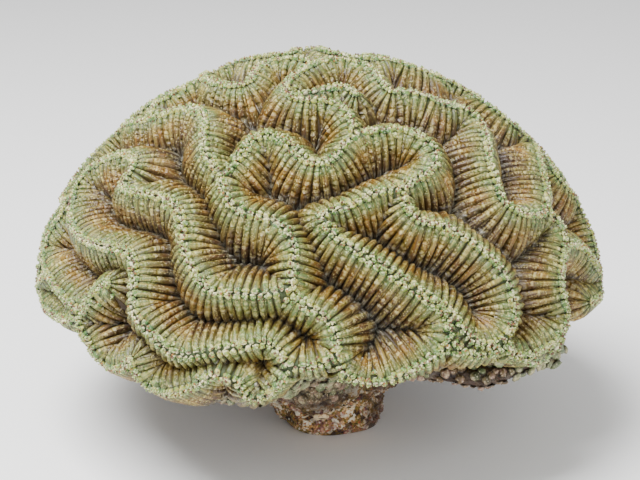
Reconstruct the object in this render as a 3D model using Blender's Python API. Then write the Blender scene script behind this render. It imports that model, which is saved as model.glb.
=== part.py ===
# Brain coral: a ribbed living head on its encrusted base.
# Metres, +Z up, the origin is the centre of the flat foot, and the front faces -Y.
import math

import bmesh
import bpy
import numpy as np
from mathutils import Vector, noise
from mathutils.kdtree import KDTree

# Driving sizes of the head.
WIDEST_Z = 0.051
CROWN_RISE = 0.080
CROWN_POWER = 1.8
RIM_TUCK = 0.10
VALLEY_DEPTH = 0.011
VALLEY_HALF_WIDTH = 0.0095
FLANK_POWER = 1.7
SEAT_Z = 0.048
LIP_INNER = 0.80
HEAD_SUBDIVISIONS = 7
HEAD_FACES = 7600

# Radius of the head, and how far its rim hangs below the widest level, every 15 degrees.
HEAD_RADIUS = np.array([
    0.098, 0.0975, 0.097, 0.0965, 0.096, 0.096, 0.096, 0.0965,
    0.097, 0.0975, 0.098, 0.0985, 0.099, 0.0985, 0.098, 0.099,
    0.100, 0.100, 0.099, 0.100, 0.1005, 0.1005, 0.099, 0.0985])
RIM_DROP = np.array([
    0.013, 0.012, 0.012, 0.012, 0.011, 0.011, 0.011, 0.011,
    0.011, 0.011, 0.011, 0.010, 0.009, 0.009, 0.011, 0.015,
    0.017, 0.017, 0.005, 0.007, 0.008, 0.009, 0.012, 0.013])

# Driving sizes of the base.
GAP = 0.0004
BASE_COLUMNS = 72
FOOT_HALF_X = 0.017
FOOT_HALF_Y = 0.024
FOOT_Y = 0.0
LUMP = 0.0022

# The view from which the walls on the front were read: a long lens, looking down a little.
VIEW_TILT = math.radians(18)
VIEW_DISTANCE = 0.620
VIEW_TARGET_Z = 0.064
VIEW_FOCAL = 100 / 36 * 640
VIEW_CENTRE = (320, 240)

# Crests of the walls seen from the front, as points in that view, 640 wide and 480 high.
FRONT_WALLS = {
    "left_upper": [
        (62, 200), (60, 187), (65, 172), (74, 158), (86, 145), (99, 132), (114, 124), (131, 120),
        (147, 116.5), (160, 112.5), (175, 108), (190, 106), (199, 109), (203, 118), (203, 130),
        (203, 143), (206, 155), (213, 165), (221, 172)],
    "left_edge": [
        (62, 200), (60, 211), (52, 224), (44, 241), (41, 258), (44, 271), (52, 285), (62, 298),
        (72, 307), (81, 311)],
    "left_ear": [
        (44, 271), (36, 282), (33, 295), (37, 306), (47, 313), (58, 319), (70, 319), (81, 311)],
    "left_inner": [
        (68, 215), (70, 200), (75, 183), (85, 170), (98, 161), (112, 155), (124, 152.5),
        (131, 157), (131, 165), (124, 175), (120, 184), (128, 190), (140, 192), (155, 195),
        (167, 199), (176, 207), (180, 217), (182, 230), (182, 245), (186, 258), (193, 272),
        (203, 285), (215, 292), (235, 293), (255, 294), (275, 292), (290, 288)],
    "left_lower": [
        (68, 215), (73, 229), (81, 238), (92, 243), (105, 246), (118, 249), (127, 253), (131, 263),
        (132, 280), (130, 300), (133, 315), (143, 327), (155, 340), (167, 351), (182, 356),
        (200, 353), (222, 350), (245, 346), (262, 343), (273, 347), (280, 356), (288, 366),
        (300, 368), (315, 367), (328, 362), (336, 354)],
    "corner_left": [
        (103, 283), (93, 289), (86, 300), (80, 311), (75, 321), (78, 332), (86, 344), (94, 358),
        (106, 368), (120, 370), (128, 362)],
    "corner_front": [
        (128, 362), (133, 374), (141, 384), (153, 391), (168, 394), (185, 391), (200, 384),
        (206, 379)],
    "tongue": [
        (287, 366), (284, 378), (277, 389), (266, 398), (252, 401), (243, 394), (238, 384)],
    "bowl": [
        (221, 172), (220, 184), (226, 197), (237, 208), (250, 213), (265, 217), (279, 223),
        (289, 235), (294, 248), (293, 262), (292, 276), (290, 288)],
    "front_notch": [
        (290, 288), (293, 296), (301, 303), (315, 310), (326, 318), (333, 328), (337, 341),
        (336, 354)],
    "centre_wave": [
        (221, 172), (232, 161), (243, 148), (252, 136), (265, 132), (280, 136), (292, 146),
        (305, 157), (320, 161), (333, 156), (343, 145), (353, 135), (367, 130), (385, 128),
        (400, 127), (415, 131), (428, 139), (437, 150), (437, 162)],
    "fork": [
        (322, 214), (333, 209), (345, 206), (357, 200), (370, 194), (385, 189), (403, 186),
        (415, 178), (427, 171), (437, 162)],
    "right_arch": [
        (403, 186), (404, 196), (409, 208), (420, 218), (437, 223), (450, 227), (462, 234),
        (474, 242), (487, 252), (499, 264), (508, 278), (514, 293), (517, 308), (516, 321),
        (509, 334), (498, 343), (485, 345), (473, 339), (463, 328)],
    "slope": [
        (322, 214), (329, 228), (342, 240), (356, 249), (372, 259), (388, 269), (403, 280),
        (418, 291), (433, 301), (446, 312), (450, 325)],
    "slope_spur": [
        (433, 301), (450, 311), (463, 328)],
    "front_fan": [
        (450, 325), (451, 338), (445, 350), (430, 360), (415, 369), (402, 377), (388, 382),
        (372, 385), (357, 382), (346, 375), (340, 366), (336, 354)],
    "crown_right": [
        (353, 135), (353, 124), (348, 112), (340, 103), (328, 98), (313, 98), (300, 97), (288, 92),
        (285, 84), (292, 75), (303, 67), (315, 61), (328, 57.5), (343, 57), (358, 60), (371, 66),
        (380, 76), (390, 87), (402, 89), (415, 91), (428, 95), (440, 100), (452, 103), (465, 106),
        (476, 113), (484, 124), (488, 138), (490, 152), (493, 166), (498, 180), (503, 195),
        (510, 204), (522, 211), (536, 213), (547, 209), (549, 195), (547, 180), (543, 165),
        (540, 150), (536, 139), (530, 132), (518, 125), (505, 115), (492, 105), (478, 95),
        (465, 85), (450, 78), (430, 71), (410, 64), (390, 58), (370, 56), (350, 54)],
    "crown_spur": [
        (300, 93), (315, 90), (330, 86), (345, 84), (356, 91)],
    "right_edge": [
        (536, 139), (546, 148), (552, 160), (558, 172), (567, 184), (577, 197), (586, 211),
        (592, 226), (597, 241), (601, 256), (602, 269)],
    "right_lower": [
        (547, 209), (557, 215), (564, 225), (568, 240), (566, 256), (563, 272), (564, 288),
        (567, 303), (570, 316), (567, 329), (559, 341), (547, 349), (533, 356), (521, 357),
        (511, 350), (509, 334)],
    "right_ear": [
        (567, 246), (578, 243), (588, 250), (595, 260), (602, 272), (604, 286), (602, 297),
        (594, 302)],
    "crown_left": [
        (147, 116.5), (152, 104), (164, 97), (177, 89), (190, 82), (203, 77), (214, 81), (228, 83),
        (241, 82), (250, 77), (255, 68), (263, 61), (276, 57), (292, 56), (308, 58), (315, 61)],
    "crown_back": [
        (203, 77), (204, 69), (212, 63), (225, 60), (242, 58), (260, 54.5), (276, 52), (290, 50),
        (300, 46), (315, 46), (332, 50), (350, 54)],
    "corner_link": [
        (206, 379), (214, 376), (224, 379), (238, 384)],
    "arch_foot": [
        (450, 325), (452, 338), (456, 347), (467, 353), (481, 354), (494, 352), (505, 346)],
    "right_foot": [
        (521, 357), (535, 363), (548, 358), (558, 349), (563, 340)],
}

# Crests of the walls that the view does not reach: azimuth and angle from the top, in degrees.
# An angle of 90 is the widest level, and 120 is the bottom of the rim.
REAR_WALLS = {
    "back_crown": [
        (171, 47), (160, 41), (148, 37), (136, 36), (124, 32), (113, 26), (101, 25), (91, 31),
        (81, 36), (70, 33), (64, 25), (54, 22), (44, 26), (41, 35), (44, 45), (40, 54), (30, 58),
        (18, 56), (6, 50)],
    "back_spur": [
        (18, 31), (24, 38), (27, 47)],
    "back_left": [
        (194, 62), (185, 65), (175, 62), (167, 56), (158, 53), (148, 51), (139, 48), (128, 46),
        (117, 42), (106, 39), (97, 44), (96, 54), (101, 63), (110, 67), (119, 63), (126, 58),
        (135, 60), (141, 67), (140, 77), (133, 84), (123, 82), (114, 80)],
    "back_middle": [
        (117, 42), (115, 50), (111, 57)],
    "back_loop": [
        (97, 44), (87, 47), (80, 53), (83, 63), (88, 73), (97, 78), (106, 77), (114, 80),
        (117, 92), (110, 100), (98, 99), (88, 97), (80, 90), (76, 80), (70, 70), (66, 58),
        (69, 48), (70, 33)],
    "back_right": [
        (40, 54), (47, 60), (55, 58), (60, 66), (62, 77), (66, 88), (64, 99), (54, 101), (48, 93),
        (49, 82), (46, 73), (36, 71), (30, 78), (33, 88), (37, 98), (30, 104), (20, 102), (17, 92),
        (20, 82), (18, 72), (9, 67), (4, 60), (3, 53)],
    "right_rear": [
        (9, 67), (7, 77), (8, 88), (6, 98), (358, 104), (351, 100), (350, 92), (350, 86)],
    "left_rear": [
        (141, 67), (150, 66), (159, 68), (167, 72), (169, 82), (163, 90), (153, 90), (148, 99),
        (138, 102), (129, 98), (117, 92)],
    "left_rear_ear": [
        (167, 72), (177, 75), (186, 79), (189, 87), (185, 96), (176, 99), (168, 97), (163, 90)],
}


def clear_scene():
    """Remove whatever the new file holds."""
    for item in list(bpy.data.objects):
        bpy.data.objects.remove(item, do_unlink=True)


def around(values, azimuth):
    """Read a ring of values, one every 15 degrees, on a smooth closed curve."""
    count = len(values)
    place = np.mod(azimuth, 360) / (360 / count)
    index = np.floor(place).astype(int)
    t = place - index
    p0 = values[np.mod(index - 1, count)]
    p1 = values[np.mod(index, count)]
    p2 = values[np.mod(index + 1, count)]
    p3 = values[np.mod(index + 2, count)]
    bend = 2 * p0 - 5 * p1 + 4 * p2 - p3
    twist = 3 * p1 - p0 - 3 * p2 + p3
    return 0.5 * (2 * p1 + (p2 - p0) * t + bend * t ** 2 + twist * t ** 3)


def crown_point(azimuth, angle):
    """Point on the smooth surface that touches the crests."""
    azimuth = np.asarray(azimuth, float)
    angle = np.asarray(angle, float)
    turn = np.radians(azimuth)
    lift = np.radians(np.clip(angle, 0, 90))
    below = np.clip((angle - 90) / 30, 0, 1.2)
    share = np.clip(angle / 60, 0, 1)
    plan = HEAD_RADIUS.mean() * (1 - share) + around(HEAD_RADIUS, azimuth) * share
    out = np.sin(lift) ** (2 / CROWN_POWER)
    out = np.where(angle > 90, 1 - RIM_TUCK * below ** 2, out)
    up = CROWN_RISE * np.cos(lift) ** (2 / CROWN_POWER)
    up = np.where(angle > 90, -around(RIM_DROP, azimuth) * below, up)
    return np.stack([plan * out * np.cos(turn), plan * out * np.sin(turn), WIDEST_Z + up], -1)


def outside_crown(points):
    """Positive outside the smooth surface, negative inside it."""
    x, y, z = points[..., 0], points[..., 1], points[..., 2] - WIDEST_Z
    azimuth = np.degrees(np.arctan2(y, x))
    radius = np.hypot(x, y)
    rise = np.clip(z, 0, None) / CROWN_RISE
    plan = around(HEAD_RADIUS, azimuth)
    half = CROWN_POWER / 2
    angle = np.degrees(np.arctan2((radius / plan) ** half, rise ** half))
    share = np.clip(angle / 60, 0, 1)
    plan = HEAD_RADIUS.mean() * (1 - share) + plan * share
    below = np.clip(-z / around(RIM_DROP, azimuth), 0, 1.2)
    above = (radius / plan) ** CROWN_POWER + rise ** CROWN_POWER - 1
    under = radius / (plan * (1 - RIM_TUCK * below ** 2)) - 1
    return np.where(z >= 0, above, under * CROWN_POWER)


def smooth_line(points, step):
    """Catmull-Rom curve through the points, with a sample about every step."""
    points = np.asarray(points, float)
    last = len(points) - 1
    line = []
    for i in range(last):
        p0, p1 = points[max(i - 1, 0)], points[i]
        p2, p3 = points[i + 1], points[min(i + 2, last)]
        parts = max(2, int(np.linalg.norm(p2 - p1) / step))
        for k in range(parts):
            t = k / parts
            bend = 2 * p0 - 5 * p1 + 4 * p2 - p3
            twist = 3 * p1 - p0 - 3 * p2 + p3
            line.append(0.5 * (2 * p1 + (p2 - p0) * t + bend * t ** 2 + twist * t ** 3))
    line.append(points[last])
    return np.array(line)


def onto_crown(view_points):
    """Carry points of the front view back onto the smooth surface."""
    back = np.array([0, -math.cos(VIEW_TILT), math.sin(VIEW_TILT)])
    up = np.array([0, math.sin(VIEW_TILT), math.cos(VIEW_TILT)])
    right = np.array([1.0, 0, 0])
    eye = np.array([0, 0, VIEW_TARGET_Z]) + back * VIEW_DISTANCE
    across = (view_points[:, :1] - VIEW_CENTRE[0]) / VIEW_FOCAL
    down = (view_points[:, 1:] - VIEW_CENTRE[1]) / VIEW_FOCAL
    rays = across * right - down * up - back
    reach = np.linspace(VIEW_DISTANCE - 0.14, VIEW_DISTANCE + 0.12, 1300)
    outside = outside_crown(eye + rays[:, None, :] * reach[None, :, None])
    hits = []
    for ray, row in zip(rays, outside):
        inside = np.nonzero(row < 0)[0]
        if len(inside) == 0:
            hits.append(eye + ray * reach[int(np.argmin(row))])
            continue
        near, far = reach[inside[0] - 1], reach[inside[0]]
        for _ in range(20):
            middle = (near + far) / 2
            if outside_crown(eye + ray * middle) < 0:
                far = middle
            else:
                near = middle
        hits.append(eye + ray * far)
    return np.array(hits)


def crest_samples():
    """Points about a millimetre apart along every crest."""
    lines = [onto_crown(smooth_line(points, 3.0)) for points in FRONT_WALLS.values()]
    for points in REAR_WALLS.values():
        marks = np.array(points, float)
        lines.append(smooth_line(crown_point(marks[:, 0], marks[:, 1]), 0.001))
    return np.concatenate(lines)


def new_object(name, mesh_data):
    body = bpy.data.objects.new(name, mesh_data)
    bpy.context.collection.objects.link(body)
    return body


def paint(body, name, colour, roughness):
    """Give the whole body one plain material."""
    material = bpy.data.materials.new(name)
    material.use_nodes = True
    shader = material.node_tree.nodes["Principled BSDF"]
    shader.inputs["Base Color"].default_value = (*colour, 1.0)
    shader.inputs["Roughness"].default_value = roughness
    body.data.materials.append(material)


def build_head(crests):
    """Dome pressed in between the crests, with a lip that hangs over a flat seat."""
    bm = bmesh.new()
    bmesh.ops.create_icosphere(bm, subdivisions=HEAD_SUBDIVISIONS, radius=1.0)
    unit = np.array([v.co[:] for v in bm.verts])
    azimuth = np.degrees(np.arctan2(unit[:, 1], unit[:, 0]))
    polar = np.degrees(np.arccos(np.clip(unit[:, 2], -1, 1)))
    angle = np.clip(polar * 120 / 112, 0, 120)
    here = crown_point(azimuth, angle)
    east = crown_point(azimuth + 0.5, angle) - crown_point(azimuth - 0.5, angle)
    south = crown_point(azimuth, angle + 0.5) - crown_point(azimuth, np.abs(angle - 0.5))
    normal = np.cross(south, east)
    length = np.linalg.norm(normal, axis=1, keepdims=True)
    normal = np.where(length > 1e-12, normal / np.maximum(length, 1e-12), [0, 0, 1])
    tree = KDTree(len(crests))
    for i, point in enumerate(crests):
        tree.insert(Vector(point), i)
    tree.balance()
    away = np.array([tree.find(Vector(point))[2] for point in here])
    sink = VALLEY_DEPTH * np.clip(away / VALLEY_HALF_WIDTH, 0, 1) ** FLANK_POWER
    sink = sink * np.interp(angle, [0, 98, 120], [1, 1, 0.45])
    shape = here - normal * sink[:, None]
    # Under the rim the surface turns in below the lip and runs flat across the seat.
    under = np.clip((polar - 112) / 68, 0, 1)
    rim = shape.copy()
    plan = around(HEAD_RADIUS, azimuth)
    reach = np.hypot(rim[:, 0], rim[:, 1]) / plan
    share = np.interp(under, [0, 0.16, 1], [0, 1, 1])
    flat = np.interp(under, [0, 0.16, 1], [LIP_INNER, LIP_INNER, 0])
    radius = np.where(under < 0.16, reach + (LIP_INNER - reach) * share, flat) * plan
    height = rim[:, 2] + (SEAT_Z - rim[:, 2]) * share ** 1.5
    turn = np.radians(azimuth)
    below = np.stack([radius * np.cos(turn), radius * np.sin(turn), height], 1)
    shape = np.where(under[:, None] > 0, below, shape)
    for vertex, place in zip(bm.verts, shape):
        vertex.co = place
    bmesh.ops.recalc_face_normals(bm, faces=bm.faces)
    mesh_data = bpy.data.meshes.new("coral_head")
    bm.to_mesh(mesh_data)
    bm.free()
    head = new_object("coral_head", mesh_data)
    thin = head.modifiers.new("thin", "DECIMATE")
    thin.ratio = HEAD_FACES / len(mesh_data.polygons)
    bpy.context.view_layer.objects.active = head
    head.select_set(True)
    bpy.ops.object.modifier_apply(modifier="thin")
    paint(head, "coral_head", (0.30, 0.27, 0.13), 0.6)
    return head


def build_base():
    """Dead underside that flares out under the lip, and the stub with its flat foot."""
    turn = np.linspace(0, 2 * math.pi, BASE_COLUMNS, endpoint=False)
    azimuth = np.degrees(turn)
    plan = around(HEAD_RADIUS, azimuth)
    rim = WIDEST_Z - around(RIM_DROP, azimuth)
    front = np.exp(-((azimuth - 268) / 13) ** 2)
    foot = 1 / np.hypot(np.cos(turn) / FOOT_HALF_X, np.sin(turn) / FOOT_HALF_Y)
    seat = np.full(BASE_COLUMNS, SEAT_Z - GAP)
    # Each ring is its radius and its height, from the seat down to the foot.
    rings = [
        (plan * 0.765, seat, 0),
        (plan * 0.76, rim, 0.2),
        (plan * 0.745, rim - 0.0030, 0.6),
        (plan * 0.66, rim * 0.50 + 0.0135, 1),
        (plan * 0.55, 0.0255 + 0.010 * front, 1),
        (plan * (0.42 + 0.10 * front), 0.0215 + 0.009 * front, 1),
        (foot * 1.0 + 0.0125 + 0.012 * front, 0.0175 + 0.005 * front, 1),
        (foot * 1.0 + 0.0050 + 0.008 * front, 0.0125 + 0.002 * front, 1),
        (foot * 1.0 + 0.0030, np.full(BASE_COLUMNS, 0.0075), 0.9),
        (foot * 1.0 + 0.0010, np.full(BASE_COLUMNS, 0.0030), 0.6),
        (foot * 0.95, np.zeros(BASE_COLUMNS), 0),
    ]
    bm = bmesh.new()
    loops = []
    for radius, height, lump in rings:
        height = np.broadcast_to(height, turn.shape)
        loop = []
        for i in range(BASE_COLUMNS):
            near_foot = min(max(1 - (height[i] - 0.010) / 0.03, 0), 1)
            point = Vector((radius[i] * math.cos(turn[i]),
                            radius[i] * math.sin(turn[i]) + FOOT_Y * near_foot, height[i]))
            swell = noise.fractal(point * 90, 1.0, 2.0, 3) * LUMP * lump
            point.x += swell * math.cos(turn[i])
            point.y += swell * math.sin(turn[i])
            point.z -= swell * 0.5 * (lump > 0.95)
            loop.append(bm.verts.new(point))
        loops.append(loop)
    for upper, lower in zip(loops, loops[1:]):
        for i in range(BASE_COLUMNS):
            k = (i + 1) % BASE_COLUMNS
            bm.faces.new((upper[i], lower[i], lower[k], upper[k]))
    bm.faces.new(loops[0])
    bm.faces.new(list(reversed(loops[-1])))
    bmesh.ops.recalc_face_normals(bm, faces=bm.faces)
    bmesh.ops.triangulate(bm, faces=[f for f in bm.faces if len(f.verts) == 4])
    mesh_data = bpy.data.meshes.new("encrusted_base")
    bm.to_mesh(mesh_data)
    bm.free()
    base = new_object("encrusted_base", mesh_data)
    paint(base, "encrusted_base", (0.24, 0.15, 0.08), 0.9)
    return base


clear_scene()
crest_points = crest_samples()
coral_head = build_head(crest_points)
encrusted_base = build_base()
for item in (coral_head, encrusted_base):
    print(item.name, len(item.data.polygons), [round(v * 1000, 1) for v in item.dimensions])
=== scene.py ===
# %% [markdown]
# The frame comes first. The imported solids load as a fixed frame in metres.

# %% Load the frame
import math

import bmesh
import bpy
import numpy as np
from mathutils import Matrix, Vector, noise
from mathutils.kdtree import KDTree


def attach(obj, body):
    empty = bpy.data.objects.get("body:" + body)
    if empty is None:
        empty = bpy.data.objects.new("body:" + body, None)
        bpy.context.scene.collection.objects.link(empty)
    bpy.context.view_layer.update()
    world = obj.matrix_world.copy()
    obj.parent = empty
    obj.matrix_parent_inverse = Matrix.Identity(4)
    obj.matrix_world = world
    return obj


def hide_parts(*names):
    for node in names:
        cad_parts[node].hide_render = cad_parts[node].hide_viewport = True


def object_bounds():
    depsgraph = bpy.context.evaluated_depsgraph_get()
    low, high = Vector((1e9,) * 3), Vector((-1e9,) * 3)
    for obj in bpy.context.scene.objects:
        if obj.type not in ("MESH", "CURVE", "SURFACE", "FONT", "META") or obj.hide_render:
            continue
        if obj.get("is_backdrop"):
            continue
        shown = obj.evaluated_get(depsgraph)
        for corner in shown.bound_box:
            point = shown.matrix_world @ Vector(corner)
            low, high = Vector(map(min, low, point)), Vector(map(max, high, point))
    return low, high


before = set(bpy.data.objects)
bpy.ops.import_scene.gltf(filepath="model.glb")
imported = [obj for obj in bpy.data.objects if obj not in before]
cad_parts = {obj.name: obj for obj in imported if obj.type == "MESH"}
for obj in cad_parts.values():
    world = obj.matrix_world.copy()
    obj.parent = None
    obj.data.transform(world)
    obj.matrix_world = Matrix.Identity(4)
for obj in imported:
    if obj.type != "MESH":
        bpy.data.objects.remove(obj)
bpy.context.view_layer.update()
SEED = 11

# %% [markdown]
# A brain coral's walls wind over one rounded dome. The dome that touches all the crests is kept here as
# the same few sizes that the solid has: a radius and a rim depth every 15 degrees, and a rise.

# %% Sizes of the dome
WIDEST_Z = 0.051
CROWN_RISE = 0.080
CROWN_POWER = 1.8
RIM_TUCK = 0.10
HEAD_RADIUS = np.array([
    0.098, 0.0975, 0.097, 0.0965, 0.096, 0.096, 0.096, 0.0965,
    0.097, 0.0975, 0.098, 0.0985, 0.099, 0.0985, 0.098, 0.099,
    0.100, 0.100, 0.099, 0.100, 0.1005, 0.1005, 0.099, 0.0985])
RIM_DROP = np.array([
    0.013, 0.012, 0.012, 0.012, 0.011, 0.011, 0.011, 0.011,
    0.011, 0.011, 0.011, 0.010, 0.009, 0.009, 0.011, 0.015,
    0.017, 0.017, 0.005, 0.007, 0.008, 0.009, 0.012, 0.013])
print("dome mm", round(2000 * HEAD_RADIUS.mean()), "across,", round(1000 * CROWN_RISE), "high")

# %% [markdown]
# The front view looks down on the head a little, through a long lens. Its sizes are settled now, because
# the crests of the front were read in it, and the camera at the end takes the same ones.

# %% Sizes of the front view
VIEW_TILT = math.radians(18)
VIEW_DISTANCE = 0.620
VIEW_TARGET_Z = 0.064
VIEW_LENS = 100
SENSOR_WIDTH = 36
VIEW_WIDTH = 640
VIEW_CENTRE = (320, 240)
VIEW_FOCAL = VIEW_LENS / SENSOR_WIDTH * VIEW_WIDTH
print("front view through a lens of", VIEW_LENS, "mm from", VIEW_DISTANCE, "m")

# %% [markdown]
# The crests were read from the front view as points, one list for each wall. A wall that forks is
# drawn as a long line and a short one that meets it.

# %% Crest lines in the front view
FRONT_WALLS = {
    "left_upper": [
        (62, 200), (60, 187), (65, 172), (74, 158), (86, 145), (99, 132), (114, 124), (131, 120),
        (147, 116.5), (160, 112.5), (175, 108), (190, 106), (199, 109), (203, 118), (203, 130),
        (203, 143), (206, 155), (213, 165), (221, 172)],
    "left_edge": [
        (62, 200), (60, 211), (52, 224), (44, 241), (41, 258), (44, 271), (52, 285), (62, 298),
        (72, 307), (81, 311)],
    "left_ear": [
        (44, 271), (36, 282), (33, 295), (37, 306), (47, 313), (58, 319), (70, 319), (81, 311)],
    "left_inner": [
        (68, 215), (70, 200), (75, 183), (85, 170), (98, 161), (112, 155), (124, 152.5),
        (131, 157), (131, 165), (124, 175), (120, 184), (128, 190), (140, 192), (155, 195),
        (167, 199), (176, 207), (180, 217), (182, 230), (182, 245), (186, 258), (193, 272),
        (203, 285), (215, 292), (235, 293), (255, 294), (275, 292), (290, 288)],
    "left_lower": [
        (68, 215), (73, 229), (81, 238), (92, 243), (105, 246), (118, 249), (127, 253), (131, 263),
        (132, 280), (130, 300), (133, 315), (143, 327), (155, 340), (167, 351), (182, 356),
        (200, 353), (222, 350), (245, 346), (262, 343), (273, 347), (280, 356), (288, 366),
        (300, 368), (315, 367), (328, 362), (336, 354)],
    "corner_left": [
        (103, 283), (93, 289), (86, 300), (80, 311), (75, 321), (78, 332), (86, 344), (94, 358),
        (106, 368), (120, 370), (128, 362)],
    "corner_front": [
        (128, 362), (133, 374), (141, 384), (153, 391), (168, 394), (185, 391), (200, 384),
        (206, 379)],
    "tongue": [
        (287, 366), (284, 378), (277, 389), (266, 398), (252, 401), (243, 394), (238, 384)],
    "bowl": [
        (221, 172), (220, 184), (226, 197), (237, 208), (250, 213), (265, 217), (279, 223),
        (289, 235), (294, 248), (293, 262), (292, 276), (290, 288)],
    "front_notch": [
        (290, 288), (293, 296), (301, 303), (315, 310), (326, 318), (333, 328), (337, 341),
        (336, 354)],
    "centre_wave": [
        (221, 172), (232, 161), (243, 148), (252, 136), (265, 132), (280, 136), (292, 146),
        (305, 157), (320, 161), (333, 156), (343, 145), (353, 135), (367, 130), (385, 128),
        (400, 127), (415, 131), (428, 139), (437, 150), (437, 162)],
    "fork": [
        (322, 214), (333, 209), (345, 206), (357, 200), (370, 194), (385, 189), (403, 186),
        (415, 178), (427, 171), (437, 162)],
    "right_arch": [
        (403, 186), (404, 196), (409, 208), (420, 218), (437, 223), (450, 227), (462, 234),
        (474, 242), (487, 252), (499, 264), (508, 278), (514, 293), (517, 308), (516, 321),
        (509, 334), (498, 343), (485, 345), (473, 339), (463, 328)],
    "slope": [
        (322, 214), (329, 228), (342, 240), (356, 249), (372, 259), (388, 269), (403, 280),
        (418, 291), (433, 301), (446, 312), (450, 325)],
    "slope_spur": [
        (433, 301), (450, 311), (463, 328)],
    "front_fan": [
        (450, 325), (451, 338), (445, 350), (430, 360), (415, 369), (402, 377), (388, 382),
        (372, 385), (357, 382), (346, 375), (340, 366), (336, 354)],
    "crown_right": [
        (353, 135), (353, 124), (348, 112), (340, 103), (328, 98), (313, 98), (300, 97), (288, 92),
        (285, 84), (292, 75), (303, 67), (315, 61), (328, 57.5), (343, 57), (358, 60), (371, 66),
        (380, 76), (390, 87), (402, 89), (415, 91), (428, 95), (440, 100), (452, 103), (465, 106),
        (476, 113), (484, 124), (488, 138), (490, 152), (493, 166), (498, 180), (503, 195),
        (510, 204), (522, 211), (536, 213), (547, 209), (549, 195), (547, 180), (543, 165),
        (540, 150), (536, 139), (530, 132), (518, 125), (505, 115), (492, 105), (478, 95),
        (465, 85), (450, 78), (430, 71), (410, 64), (390, 58), (370, 56), (350, 54)],
    "crown_spur": [
        (300, 93), (315, 90), (330, 86), (345, 84), (356, 91)],
    "right_edge": [
        (536, 139), (546, 148), (552, 160), (558, 172), (567, 184), (577, 197), (586, 211),
        (592, 226), (597, 241), (601, 256), (602, 269)],
    "right_lower": [
        (547, 209), (557, 215), (564, 225), (568, 240), (566, 256), (563, 272), (564, 288),
        (567, 303), (570, 316), (567, 329), (559, 341), (547, 349), (533, 356), (521, 357),
        (511, 350), (509, 334)],
    "right_ear": [
        (567, 246), (578, 243), (588, 250), (595, 260), (602, 272), (604, 286), (602, 297),
        (594, 302)],
    "crown_left": [
        (147, 116.5), (152, 104), (164, 97), (177, 89), (190, 82), (203, 77), (214, 81), (228, 83),
        (241, 82), (250, 77), (255, 68), (263, 61), (276, 57), (292, 56), (308, 58), (315, 61)],
    "crown_back": [
        (203, 77), (204, 69), (212, 63), (225, 60), (242, 58), (260, 54.5), (276, 52), (290, 50),
        (300, 46), (315, 46), (332, 50), (350, 54)],
    "corner_link": [
        (206, 379), (214, 376), (224, 379), (238, 384)],
    "arch_foot": [
        (450, 325), (452, 338), (456, 347), (467, 353), (481, 354), (494, 352), (505, 346)],
    "right_foot": [
        (521, 357), (535, 363), (548, 358), (558, 349), (563, 340)],
}
print("walls in the front view", len(FRONT_WALLS))

# %% [markdown]
# The walls that the view does not reach are drawn by azimuth and angle from the top, in degrees, in the
# same winding manner. An angle of 90 is the widest level, and 120 is the bottom of the rim.

# %% Crest lines round the back
REAR_WALLS = {
    "back_crown": [
        (171, 47), (160, 41), (148, 37), (136, 36), (124, 32), (113, 26), (101, 25), (91, 31),
        (81, 36), (70, 33), (64, 25), (54, 22), (44, 26), (41, 35), (44, 45), (40, 54), (30, 58),
        (18, 56), (6, 50)],
    "back_spur": [
        (18, 31), (24, 38), (27, 47)],
    "back_left": [
        (194, 62), (185, 65), (175, 62), (167, 56), (158, 53), (148, 51), (139, 48), (128, 46),
        (117, 42), (106, 39), (97, 44), (96, 54), (101, 63), (110, 67), (119, 63), (126, 58),
        (135, 60), (141, 67), (140, 77), (133, 84), (123, 82), (114, 80)],
    "back_middle": [
        (117, 42), (115, 50), (111, 57)],
    "back_loop": [
        (97, 44), (87, 47), (80, 53), (83, 63), (88, 73), (97, 78), (106, 77), (114, 80),
        (117, 92), (110, 100), (98, 99), (88, 97), (80, 90), (76, 80), (70, 70), (66, 58),
        (69, 48), (70, 33)],
    "back_right": [
        (40, 54), (47, 60), (55, 58), (60, 66), (62, 77), (66, 88), (64, 99), (54, 101), (48, 93),
        (49, 82), (46, 73), (36, 71), (30, 78), (33, 88), (37, 98), (30, 104), (20, 102), (17, 92),
        (20, 82), (18, 72), (9, 67), (4, 60), (3, 53)],
    "right_rear": [
        (9, 67), (7, 77), (8, 88), (6, 98), (358, 104), (351, 100), (350, 92), (350, 86)],
    "left_rear": [
        (141, 67), (150, 66), (159, 68), (167, 72), (169, 82), (163, 90), (153, 90), (148, 99),
        (138, 102), (129, 98), (117, 92)],
    "left_rear_ear": [
        (167, 72), (177, 75), (186, 79), (189, 87), (185, 96), (176, 99), (168, 97), (163, 90)],
}
print("walls round the back", len(REAR_WALLS))

# %% [markdown]
# The next few functions read the dome: a point at an azimuth and an angle from the top, a test for inside
# and outside, and a way to settle any point onto the surface with its normal.

# %% Functions that read the dome
WIDEST_ANGLE = 90
RIM_ANGLE = 120
ROUND_ANGLE = 60
PAST_RIM = 1.2
FAR_PAST_RIM = 1.3
SLOPE_STEP = 0.0006


def curve_through(p0, p1, p2, p3, t):
    """Point of a smooth curve between p1 and p2, at the share t of the way."""
    bend = 2 * p0 - 5 * p1 + 4 * p2 - p3
    twist = 3 * p1 - p0 - 3 * p2 + p3
    return 0.5 * (2 * p1 + (p2 - p0) * t + bend * t ** 2 + twist * t ** 3)


def around(values, azimuth):
    """Read a ring of values, one every 15 degrees, on a smooth closed curve."""
    count = len(values)
    place = np.mod(azimuth, 360) / (360 / count)
    index = np.floor(place).astype(int)
    four = [values[np.mod(index + shift, count)] for shift in (-1, 0, 1, 2)]
    return curve_through(*four, place - index)


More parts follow.
